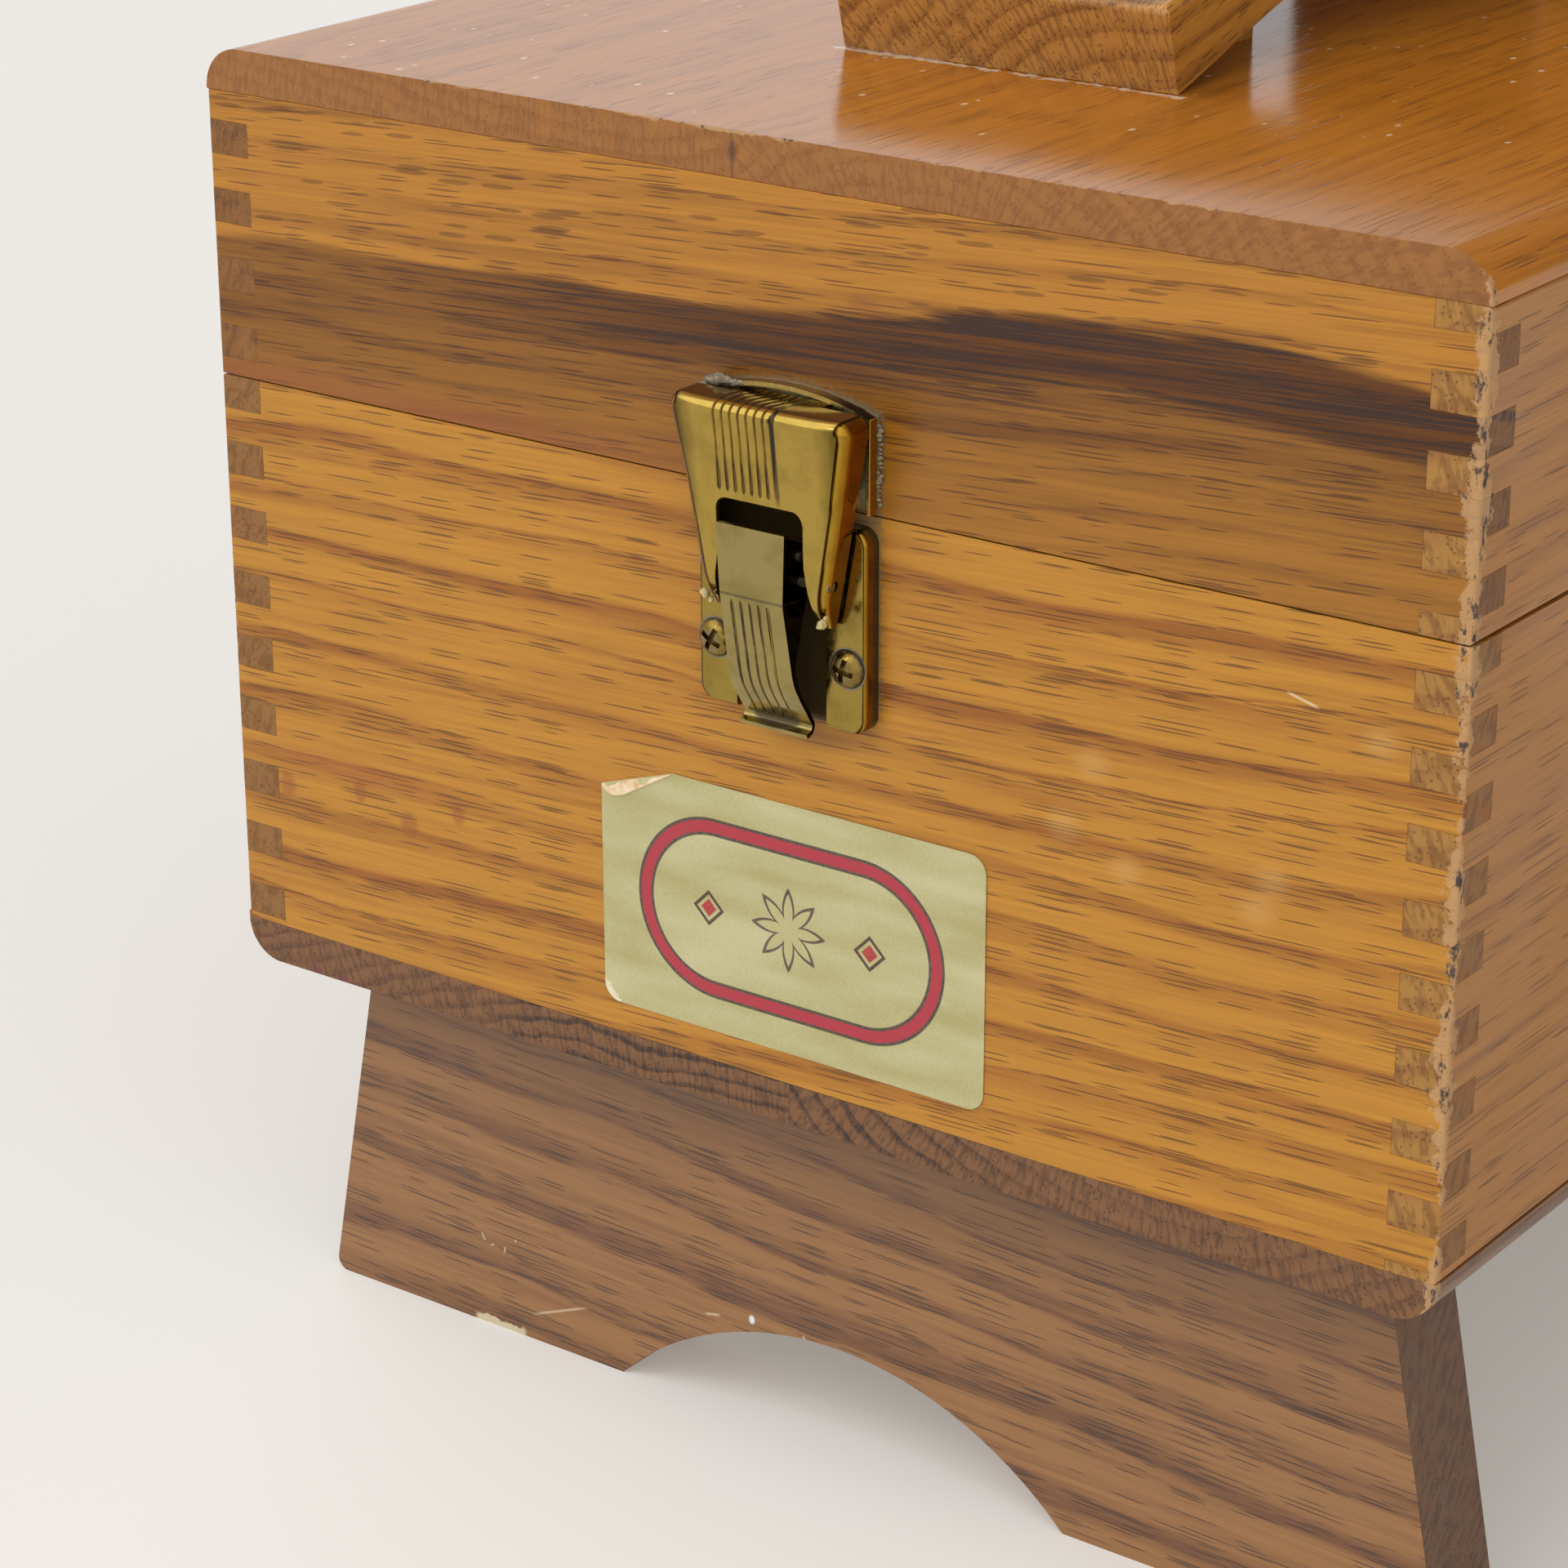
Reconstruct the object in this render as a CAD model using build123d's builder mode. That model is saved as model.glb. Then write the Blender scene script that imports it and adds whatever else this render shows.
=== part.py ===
from build123d import *
import os
from math import ceil, cos, floor, radians, tan

# Shoe shine box, all sizes in millimetres.
# +Z is up, the latch side faces -Y, and the origin is on the floor under the middle of the whole part.

# ---- The wooden box -----------------------------------------------------------------------------
box_width = 260.0
box_depth = 318.0
box_height = 178.3  # body and closed lid, without the feet
board_thick = 8.0  # top and bottom boards
wall_thick = 9.5  # front, back and side boards
edge_round = 7.8  # long edges of the top and bottom boards
edge_round_share = 0.98  # at most, of those boards' thickness
seam_height = 117.0  # top rim of the body, above the underside of the box
seam_gap = 0.3  # hairline between the closed lid and the body
saw_kerf = 3.2  # wood lost when the lid was sawn off the closed box
finger_height = 6.35
left_finger_top = 117.05  # top of the left corners' highest body finger
right_finger_top = 111.6  # the right corners' fingers are cut lower
screw_gap = 0.05  # between each wood screw and its hole

# ---- Feet ---------------------------------------------------------------------------------------
foot_height = 74.6
foot_thick = 20.6
foot_inset = 16.5  # from the box's front and back faces
foot_top_width = 224.6
foot_bottom_width = 253.0
foot_corner_round = 2.5
arch_half_span = 50.8
arch_rise = 21.5
arch_offset = -1.3  # the arch is cut slightly left of the middle
foot_screw_spacing = 85.0
foot_screw_length = 38.0

# ---- Foot rest ----------------------------------------------------------------------------------
rest_setback = 65.5  # heel edge, behind the box's front face
rest_slope = 14.3  # degrees
rest_length = 236.0
rest_thick = 15.9
rest_heel_width = 70.0
rest_waist_width = 66.0
rest_ball_width = 84.0
rest_waist_along = 72.0
rest_ball_along = 172.0
rest_edge_round = 1.6
rest_side_lean = 0.05  # the sides close in by this much per millimetre at the heel
wedge_setback = 9.0  # behind the heel edge
wedge_length = 42.0
wedge_width = 40.0
post_along = 168.0  # middle of the post, behind the heel edge
post_length = 44.0
post_width = 58.0
post_corner_round = 4.0
heel_screw_spacing = 20.0
heel_screw_length = 24.0
post_screw_spacing = 36.0  # screws through the plank's top into the post
post_foot_spacing = 20.0  # screws through the lid into the post
post_screw_length = 32.0
wood_screw_radius = 1.9
wood_screw_head_radius = 3.8
wood_screw_head_height = 2.3

# ---- Hinges -------------------------------------------------------------------------------------
hinge_length = 38.0
hinge_inset = 50.0  # from the box's side to the middle of a hinge
leaf_thick = 1.0
leaf_width = 8.8  # from the back face into the rim
knuckle_radius = 2.5
knuckle_clearance = 0.1  # between a knuckle and the back face
knuckle_count = 5
knuckle_gap = 0.2
hinge_pin_radius = 1.1
pin_clearance = 0.03
hinge_screw_spacing = 12.5
hinge_screw_inset = 4.6  # from the back face
hinge_screw_length = 12.0
hinge_screw_radius = 1.1
hinge_screw_head_radius = 2.1
hinge_screw_head_height = 0.9

# ---- Draw latch: "out" is the distance out of the front face, heights are above the box's underside
latch_offset = 1.8  # right of the middle
base_width = 35.3
base_bottom = 78.9
base_top = 115.2
base_pad_out = 3.7
base_floor = 0.8
base_corner_round = 3.0
base_edge_round = 0.9
trough_width = 19.0
trough_top_width = 26.4
trough_flare_low = 95.0
trough_flare_high = 102.0
latch_screw_height = 90.6
latch_screw_spread = 27.8
latch_screw_length = 12.7
catch_screw_length = 9.5
latch_screw_radius = 1.6
latch_screw_head_radius = 3.8
latch_screw_head_height = 1.9
cross_length = 4.6
cross_width = 1.0
cross_depth = 1.1
lever_pin_out = 8.2
lever_pin_height = 110.5
lever_pin_radius = 1.0
lever_pin_overhang = 0.7  # past the lever's cheeks
ear_radius = 2.0
ear_thick = 0.9
ear_foot_drop = 1.5  # top of the ear's foot, below the lever pin
ear_foot_height = 4.5
ear_side_gap = 0.25  # between an ear and the lever's cheek
lever_width = 14.3
lever_sheet = 0.8
lever_top_out = 12.5
lever_top = 115.0
lever_crease_out = 12.2
lever_crease = 102.4
lever_bend_out = 9.3
lever_bend = 86.5
lever_tip_out = 4.1
lever_tip = 78.6
lever_lip_out = 6.2
lever_lip = 77.9
lever_rounds = [2.0, 14.0, 0.9]  # at the crease, the bend and the tip
cheek_round = 2.2  # of the lever's cheek around its pins
cheek_bottom_out = 9.4
cheek_bottom = 90.0
hasp_pin_drop = 4.5  # hasp pin below the lever pin
hasp_pin_in = 0.5  # hasp pin nearer to the wood, so that the closed lever locks over centre
hasp_pin_radius = 1.0
hasp_front_out = 10.0
hasp_sheet = 0.9
hasp_flange_depth = 5.5
hasp_top = 135.6
hasp_top_width = 38.4  # its rounded corners take 1.0 off this
hasp_tip = 98.0
hasp_tip_width = 24.4
hasp_corner_round = 2.6
hasp_edge_round = 2.0
window_width = 18.0
window_top = 118.6
window_flare = 109.0
window_tip_width = 21.8
window_corner_round = 2.2
hook_width = 18.0
hook_out = 1.7  # inner face of the hook's down-turned lip
hook_sheet = 0.8
hook_overlap = 0.8  # height that the hook and the catch's lip share
hook_rest_gap = 0.25
hook_play = 4.8  # between the hook and the catch's lip, so that the hook can swing out
catch_width = 35.6
catch_bottom = 118.0
catch_crown_rise = 2.0  # middle of the catch's rim, above the hasp's top
catch_side_drop = 1.1  # ends of the rim, below the hasp's top
catch_out = 3.0
catch_sheet = 0.8
catch_lip_height = 6.95  # from under the catch's shelf to the top of its lip
catch_screw_height = 122.6
catch_screw_spread = 22.0

# ---- Label --------------------------------------------------------------------------------------
label_width = 83.0
label_height = 47.4
label_bottom = 14.0
label_offset = 0.5
label_thick = 0.15
label_corner_round = 3.5

# ---- Places worked out from the sizes above -----------------------------------------------------
underside_z = foot_height
seam_z = underside_z + seam_height
lid_bottom_z = seam_z + seam_gap
box_top_z = underside_z + box_height
floor_z = underside_z + board_thick  # inside the body
ceiling_z = box_top_z - board_thick  # inside the lid
lid_shift = seam_gap - saw_kerf  # of the lid's fingers, from where they were before the saw cut
hinge_pin_out = knuckle_radius + knuckle_clearance
front_y = -(box_depth + hinge_pin_out + knuckle_radius - lever_top_out) / 2
back_y = front_y + box_depth
middle_y = front_y + box_depth / 2
hinge_pin_y = back_y + hinge_pin_out
hinge_pin_z = seam_z + seam_gap / 2
half_width = box_width / 2
hinge_spacing = box_width - 2 * hinge_inset
heel_y = front_y + rest_setback
rest_rise = tan(radians(rest_slope))
rest_plane = Plane(Location((0, heel_y, box_top_z), (rest_slope, 0, 0)))
hasp_pin_out = lever_pin_out - hasp_pin_in
hasp_pin_height = lever_pin_height - hasp_pin_drop
catch_lip_out = hook_out + hook_sheet + hook_play
catch_lip_top = hasp_top - hasp_sheet - hook_rest_gap
catch_shelf = catch_lip_top - catch_lip_height
catch_crown_top = hasp_top + catch_crown_rise
catch_side_top = hasp_top - catch_side_drop


# ---- Shared forms -------------------------------------------------------------------------------
def front_plane(out):
    """The plane parallel to the front face, at a distance out of it: x runs right and y up."""
    return Plane.XZ.offset(out - front_y)


def side_plane(x):
    """The upright plane across X, in which x runs to the back and y up."""
    return Plane.YZ.offset(x)


def beside(out, height):
    """A point of the latch in a side plane, from its distance out and its height above the underside."""
    return (front_y - out, underside_z + height)


def rest_underside(along):
    """Height of the foot rest's underside at a level distance behind its heel edge."""
    return box_top_z + rest_rise * along


def finger_slots(low, high, finger_top):
    """Middle and height of each side-board finger between two levels, stepped from one finger's top."""
    pitch = 2 * finger_height
    first = floor((low - finger_top) / pitch) + 1
    last = ceil((high - finger_top + finger_height) / pitch)
    slots = []
    for step in range(first, last):
        upper = min(high, finger_top + step * pitch)
        lower = max(low, finger_top + step * pitch - finger_height)
        slots.append(((upper + lower) / 2, upper - lower))
    return slots


def cross_board(outer_out, inward, low, high, left_top, right_top):
    """A front or back board: full width, with a notch for each side-board finger."""
    with BuildPart() as board:
        with BuildSketch(front_plane(outer_out)):
            with Locations((0, (low + high) / 2)):
                Rectangle(box_width, high - low)
            for side, finger_top in ((-1, left_top), (1, right_top)):
                for middle, height in finger_slots(low, high, finger_top):
                    with Locations((side * (half_width - wall_thick / 2), middle)):
                        Rectangle(wall_thick, height, mode=Mode.SUBTRACT)
        extrude(amount=inward * wall_thick)
    return board


def side_board(side, low, high, finger_top):
    """A left or right board, whose fingers reach the front and back faces."""
    with BuildPart() as board:
        with BuildSketch(side_plane(side * (half_width - wall_thick))):
            with Locations((middle_y, (low + high) / 2)):
                Rectangle(box_depth - 2 * wall_thick, high - low)
            for middle, height in finger_slots(low, high, finger_top):
                with Locations((middle_y, middle)):
                    Rectangle(box_depth, height)
        extrude(amount=side * wall_thick)
    return board


def flat_board(low, outer_face):
    """The top or bottom board, whose two long outer edges are rounded over."""
    with BuildPart() as board:
        with BuildSketch(Plane.XY.offset(low)):
            with Locations((0, middle_y)):
                Rectangle(box_width, box_depth)
        extrude(amount=board_thick)
        face_edges = board.faces().sort_by(Axis.Z)[outer_face].edges()
        fillet(face_edges.filter_by(Axis.Y), min(edge_round, edge_round_share * board_thick))
    return board


def screws(places, length, radius, head_radius, head_height, grow=0.0):
    """Flat-head screws, each with its head flush with a place's plane and its shank running behind it."""
    behind = (Align.CENTER, Align.CENTER, Align.MAX)
    with BuildPart() as group:
        with Locations(*places):
            Cylinder(radius + grow, length + grow, align=behind)
            Cone(radius + grow, head_radius + grow, head_height, align=behind)
    return group


def write(piece, name):
    """Labels a finished piece and writes it under its name."""
    piece.part.label = name
    export_step(piece.part, f"parts/{name}.step")


os.makedirs("parts", exist_ok=True)

# ---- Screws and the holes they need -------------------------------------------------------------
foot_middles = (front_y + foot_inset + foot_thick / 2, back_y - foot_inset - foot_thick / 2)
foot_screw_places = [
    Location((x, y, floor_z)) for y in foot_middles for x in (-foot_screw_spacing, 0, foot_screw_spacing)
]
foot_screw_form = (foot_screw_length, wood_screw_radius, wood_screw_head_radius, wood_screw_head_height)
foot_screws = screws(foot_screw_places, *foot_screw_form)
foot_screw_holes = screws(foot_screw_places, *foot_screw_form, screw_gap)
write(foot_screws, "foot_screws")

rest_screw_form = (wood_screw_radius, wood_screw_head_radius, wood_screw_head_height)
heel_screw_y = heel_y + wedge_setback + wedge_length / 2
post_y = heel_y + post_along
upward = (180, 0, 0)
heel_screw_places = [Location((s * heel_screw_spacing / 2, heel_screw_y, ceiling_z), upward) for s in (-1, 1)]
post_foot_places = [Location((s * post_foot_spacing / 2, post_y, ceiling_z), upward) for s in (-1, 1)]
post_head_along = post_along / cos(radians(rest_slope))
post_head_places = [
    rest_plane.location * Location((s * post_screw_spacing / 2, post_head_along, rest_thick)) for s in (-1, 1)
]
heel_screw_holes = screws(heel_screw_places, heel_screw_length, *rest_screw_form, screw_gap)
post_screw_holes = screws(post_foot_places + post_head_places, post_screw_length, *rest_screw_form, screw_gap)
heel_screws = screws(heel_screw_places, heel_screw_length, *rest_screw_form)
post_screws = screws(post_foot_places + post_head_places, post_screw_length, *rest_screw_form)
with BuildPart() as foot_rest_screws:
    add(heel_screws.part)
    add(post_screws.part)
write(foot_rest_screws, "foot_rest_screws")

hinge_screw_form = (hinge_screw_length, hinge_screw_radius, hinge_screw_head_radius, hinge_screw_head_height)
hinge_screw_xs = [
    side * hinge_spacing / 2 + step * hinge_screw_spacing for side in (-1, 1) for step in (-1, 0, 1)
]
hinge_screw_y = back_y - hinge_screw_inset
body_hinge_places = [Location((x, hinge_screw_y, seam_z)) for x in hinge_screw_xs]
lid_hinge_places = [Location((x, hinge_screw_y, lid_bottom_z), upward) for x in hinge_screw_xs]
hinge_body_screws = screws(body_hinge_places, *hinge_screw_form)
hinge_lid_screws = screws(lid_hinge_places, *hinge_screw_form)
body_hinge_holes = screws(body_hinge_places, *hinge_screw_form, screw_gap)
lid_hinge_holes = screws(lid_hinge_places, *hinge_screw_form, screw_gap)
write(hinge_body_screws, "hinge_body_screws")
write(hinge_lid_screws, "hinge_lid_screws")

latch_screw_form = (latch_screw_radius, latch_screw_head_radius, latch_screw_head_height)
base_screw_plane = front_plane(base_pad_out)
base_screw_places = [
    base_screw_plane.location
    * Location((latch_offset + s * latch_screw_spread / 2, underside_z + latch_screw_height, 0))
    for s in (-1, 1)
]
catch_screw_places = [
    front_plane(catch_sheet).location
    * Location((latch_offset + s * catch_screw_spread / 2, underside_z + catch_screw_height, 0))
    for s in (-1, 1)
]
base_screw_holes = screws(base_screw_places, latch_screw_length, *latch_screw_form, screw_gap)
catch_screw_holes = screws(catch_screw_places, catch_screw_length, *latch_screw_form, screw_gap)


def cross_head_screws(places, length):
    """Latch screws with a cross recess in each head."""
    group = screws(places, length, *latch_screw_form)
    into = (Align.CENTER, Align.CENTER, Align.MAX)
    with BuildPart() as crossed:
        add(group.part)
        with Locations(*places):
            Box(cross_length, cross_width, cross_depth, align=into, mode=Mode.SUBTRACT)
            Box(cross_width, cross_length, cross_depth, align=into, mode=Mode.SUBTRACT)
    return crossed


write(cross_head_screws(base_screw_places, latch_screw_length), "latch_base_screws")
write(cross_head_screws(catch_screw_places, catch_screw_length), "latch_catch_screws")

# ---- Body boards --------------------------------------------------------------------------------
body_left_top = underside_z + left_finger_top
body_right_top = underside_z + right_finger_top
body_span = (floor_z, seam_z)

box_front_blank = cross_board(0, -1, *body_span, body_left_top, body_right_top)
with BuildPart() as box_front:
    add(box_front_blank.part)
    add(base_screw_holes.part, mode=Mode.SUBTRACT)
write(box_front, "box_front")

hinge_middles = [(side * hinge_spacing / 2, back_y) for side in (-1, 1)]
box_back_blank = cross_board(-box_depth, 1, *body_span, body_left_top, body_right_top)
with BuildPart() as box_back:
    add(box_back_blank.part)
    with BuildSketch(Plane.XY.offset(seam_z)):
        with Locations(*hinge_middles):
            Rectangle(hinge_length, leaf_width, align=(Align.CENTER, Align.MAX))
    extrude(amount=-leaf_thick, mode=Mode.SUBTRACT)
    add(body_hinge_holes.part, mode=Mode.SUBTRACT)
write(box_back, "box_back")

write(side_board(-1, *body_span, body_left_top), "box_left_side")
write(side_board(1, *body_span, body_right_top), "box_right_side")

box_bottom_blank = flat_board(underside_z, 0)
with BuildPart() as box_bottom:
    add(box_bottom_blank.part)
    add(foot_screw_holes.part, mode=Mode.SUBTRACT)
write(box_bottom, "box_bottom")

# ---- Feet ---------------------------------------------------------------------------------------
for name, foot_out in (("front_foot", -foot_inset), ("rear_foot", foot_inset + foot_thick - box_depth)):
    with BuildPart() as foot:
        with BuildSketch(front_plane(foot_out)):
            with BuildLine():
                Polyline(
                    (arch_offset + arch_half_span, 0),
                    (foot_bottom_width / 2, 0),
                    (foot_top_width / 2, foot_height),
                    (-foot_top_width / 2, foot_height),
                    (-foot_bottom_width / 2, 0),
                    (arch_offset - arch_half_span, 0),
                )
                ThreePointArc(
                    (arch_offset - arch_half_span, 0),
                    (arch_offset, arch_rise),
                    (arch_offset + arch_half_span, 0),
                )
            make_face()
            corners = vertices().sort_by(Axis.X)
            fillet([corners[0], corners[-1]], foot_corner_round)
        extrude(amount=-foot_thick)
        add(foot_screw_holes.part, mode=Mode.SUBTRACT)
    write(foot, name)

# ---- Lid boards ---------------------------------------------------------------------------------
lid_left_top = body_left_top + lid_shift
lid_right_top = body_right_top + lid_shift
lid_span = (lid_bottom_z, ceiling_z)

lid_front_blank = cross_board(0, -1, *lid_span, lid_left_top, lid_right_top)
with BuildPart() as lid_front:
    add(lid_front_blank.part)
    add(catch_screw_holes.part, mode=Mode.SUBTRACT)
write(lid_front, "lid_front")

lid_back_blank = cross_board(-box_depth, 1, *lid_span, lid_left_top, lid_right_top)
with BuildPart() as lid_back:
    add(lid_back_blank.part)
    with BuildSketch(Plane.XY.offset(lid_bottom_z)):
        with Locations(*hinge_middles):
            Rectangle(hinge_length, leaf_width, align=(Align.CENTER, Align.MAX))
    extrude(amount=leaf_thick, mode=Mode.SUBTRACT)
    add(lid_hinge_holes.part, mode=Mode.SUBTRACT)
write(lid_back, "lid_back")

write(side_board(-1, *lid_span, lid_left_top), "lid_left_side")
write(side_board(1, *lid_span, lid_right_top), "lid_right_side")

lid_top_blank = flat_board(ceiling_z, -1)
with BuildPart() as lid_top:
    add(lid_top_blank.part)
    add(heel_screw_holes.part, mode=Mode.SUBTRACT)
    add(post_screw_holes.part, mode=Mode.SUBTRACT)
write(lid_top, "lid_top")

# ---- Foot rest ----------------------------------------------------------------------------------
with BuildPart() as foot_rest_plank:
    with BuildSketch(rest_plane):
        with BuildLine():
            right_side = [
                (rest_heel_width / 2, 0),
                (rest_waist_width / 2, rest_waist_along),
                (rest_ball_width / 2, rest_ball_along),
            ]
            left_side = [(-across, along) for across, along in reversed(right_side)]
            heel_tangents = ((-rest_side_lean, 1), (-rest_side_lean, -1))
            Spline(*right_side, (0, rest_length), *left_side, tangents=heel_tangents)
            Line(left_side[-1], right_side[0])
        make_face()
    extrude(amount=rest_thick)
    top_face = foot_rest_plank.faces().sort_by(Axis(rest_plane.origin, rest_plane.z_dir))[-1]
    fillet(top_face.edges(), rest_edge_round)
    add(heel_screw_holes.part, mode=Mode.SUBTRACT)
    add(post_screw_holes.part, mode=Mode.SUBTRACT)
write(foot_rest_plank, "foot_rest_plank")


def rest_support(along, length, width, corner_round, holes):
    """A block between the lid and the foot rest, with its top cut to the foot rest's slope."""
    near = along - length / 2
    far = along + length / 2
    with BuildPart() as support:
        with BuildSketch(side_plane(0)):
            with BuildLine():
                Polyline(
                    (heel_y + near, box_top_z),
                    (heel_y + far, box_top_z),
                    (heel_y + far, rest_underside(far)),
                    (heel_y + near, rest_underside(near)),
                    close=True,
                )
            make_face()
        extrude(amount=width / 2, both=True)
        fillet(support.edges().filter_by(Axis.Z), corner_round)
        add(holes.part, mode=Mode.SUBTRACT)
    return support


wedge_along = wedge_setback + wedge_length / 2
wedge = rest_support(wedge_along, wedge_length, wedge_width, rest_edge_round, heel_screw_holes)
post = rest_support(post_along, post_length, post_width, post_corner_round, post_screw_holes)
write(wedge, "foot_rest_wedge")
write(post, "foot_rest_post")

# ---- Hinges -------------------------------------------------------------------------------------
knuckle_length = (hinge_length - (knuckle_count - 1) * knuckle_gap) / knuckle_count


def hinge_leaf(middle_x, first_knuckle, level, upward_sign, holes):
    """A leaf let into a rim, with every second knuckle of the hinge."""
    starts = [
        middle_x - hinge_length / 2 + step * (knuckle_length + knuckle_gap)
        for step in range(first_knuckle, knuckle_count, 2)
    ]
    tab_middle = level + upward_sign * leaf_thick / 2
    with BuildPart() as leaf:
        with BuildSketch(Plane.XY.offset(level)):
            with Locations((middle_x, back_y)):
                Rectangle(hinge_length, leaf_width, align=(Align.CENTER, Align.MAX))
        extrude(amount=upward_sign * leaf_thick)
        for start in starts:
            with BuildSketch(side_plane(start)):
                with Locations((hinge_pin_y, hinge_pin_z)):
                    Circle(knuckle_radius)
                with Locations((hinge_pin_y, tab_middle)):
                    Rectangle(hinge_pin_out, leaf_thick, align=(Align.MAX, Align.CENTER))
                with Locations((hinge_pin_y, hinge_pin_z)):
                    Circle(hinge_pin_radius + pin_clearance, mode=Mode.SUBTRACT)
            extrude(amount=knuckle_length)
        add(holes.part, mode=Mode.SUBTRACT)
    return leaf


for name, side in (("left", -1), ("right", 1)):
    middle_x = side * hinge_spacing / 2
    write(hinge_leaf(middle_x, 0, seam_z, -1, body_hinge_holes), f"hinge_{name}_body_leaf")
    write(hinge_leaf(middle_x, 1, lid_bottom_z, 1, lid_hinge_holes), f"hinge_{name}_lid_leaf")
    with BuildPart() as hinge_pin:
        with BuildSketch(side_plane(middle_x - hinge_length / 2)):
            with Locations((hinge_pin_y, hinge_pin_z)):
                Circle(hinge_pin_radius)
        extrude(amount=hinge_length)
    write(hinge_pin, f"hinge_{name}_pin")

# ---- Draw latch: base plate ---------------------------------------------------------------------
latch_middle_plane = side_plane(latch_offset)
ear_outer = lever_width / 2 - lever_sheet - ear_side_gap
ear_foot_top = lever_pin_height - ear_foot_drop
ear_foot_bottom = ear_foot_top - ear_foot_height
lever_pin_point = beside(lever_pin_out, lever_pin_height)
hasp_pin_point = beside(hasp_pin_out, hasp_pin_height)

with BuildPart() as latch_base_plate:
    with BuildSketch(front_plane(0)):
        with Locations((latch_offset, underside_z + (base_bottom + base_top) / 2)):
            RectangleRounded(base_width, base_top - base_bottom, base_corner_round)
    extrude(amount=base_pad_out)
    fillet(latch_base_plate.faces().sort_by(Axis.Y)[0].edges(), base_edge_round)
    with BuildSketch(front_plane(base_floor)):
        with Locations((latch_offset, underside_z)):
            trough_outline = [
                (trough_width / 2, base_bottom - base_corner_round),
                (trough_width / 2, trough_flare_low),
                (trough_top_width / 2, trough_flare_high),
                (trough_top_width / 2, base_top + base_corner_round),
            ]
            mirrored = [(-across, height) for across, height in reversed(trough_outline)]
            Polygon(*trough_outline, *mirrored, align=None)
    extrude(amount=base_pad_out, mode=Mode.SUBTRACT)
    for side in (-1, 1):
        with BuildSketch(side_plane(latch_offset + side * (ear_outer - ear_thick / 2))):
            with BuildLine():
                CenterArc(lever_pin_point, ear_radius, 0, 360)
                Line(beside(base_floor / 2, ear_foot_top), beside(base_floor / 2, ear_foot_bottom))
            make_hull()
            with Locations(lever_pin_point):
                Circle(lever_pin_radius + pin_clearance, mode=Mode.SUBTRACT)
        extrude(amount=ear_thick / 2, both=True)
    add(base_screw_holes.part, mode=Mode.SUBTRACT)
write(latch_base_plate, "latch_base_plate")

with BuildPart() as latch_lever_pin:
    with BuildSketch(latch_middle_plane):
        with Locations(lever_pin_point):
            Circle(lever_pin_radius)
    extrude(amount=lever_width / 2 + lever_pin_overhang, both=True)
write(latch_lever_pin, "latch_lever_pin")

# ---- Draw latch: lever --------------------------------------------------------------------------
with BuildPart() as latch_lever:
    with BuildSketch(latch_middle_plane):
        with BuildLine():
            FilletPolyline(
                beside(lever_top_out, lever_top),
                beside(lever_crease_out, lever_crease),
                beside(lever_bend_out, lever_bend),
                beside(lever_tip_out, lever_tip),
                beside(lever_lip_out, lever_lip),
                radius=lever_rounds,
            )
            offset(amount=lever_sheet, side=Side.LEFT)
        make_face()
    extrude(amount=lever_width / 2, both=True)
    for side in (-1, 1):
        with BuildSketch(side_plane(latch_offset + side * (lever_width - lever_sheet) / 2)):
            with BuildLine():
                CenterArc(lever_pin_point, cheek_round, 0, 360)
                CenterArc(hasp_pin_point, cheek_round, 0, 360)
                Polyline(
                    beside(lever_top_out - lever_sheet / 2, lever_top - lever_sheet / 2),
                    beside(lever_crease_out - lever_sheet / 2, lever_crease),
                    beside(cheek_bottom_out, cheek_bottom),
                )
            make_hull()
        extrude(amount=lever_sheet / 2, both=True)
    with BuildSketch(latch_middle_plane):
        with Locations(lever_pin_point):
            Circle(lever_pin_radius + pin_clearance)
        with Locations(hasp_pin_point):
            Circle(hasp_pin_radius + pin_clearance)
    extrude(amount=lever_width, both=True, mode=Mode.SUBTRACT)
write(latch_lever, "latch_lever")

# ---- Draw latch: hasp ---------------------------------------------------------------------------
hasp_back_out = hasp_front_out - hasp_flange_depth
hasp_outline = [
    (-hasp_tip_width / 2, hasp_tip),
    (hasp_tip_width / 2, hasp_tip),
    (hasp_top_width / 2, hasp_top),
    (-hasp_top_width / 2, hasp_top),
]
hook_bottom = catch_lip_top - hook_overlap

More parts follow.
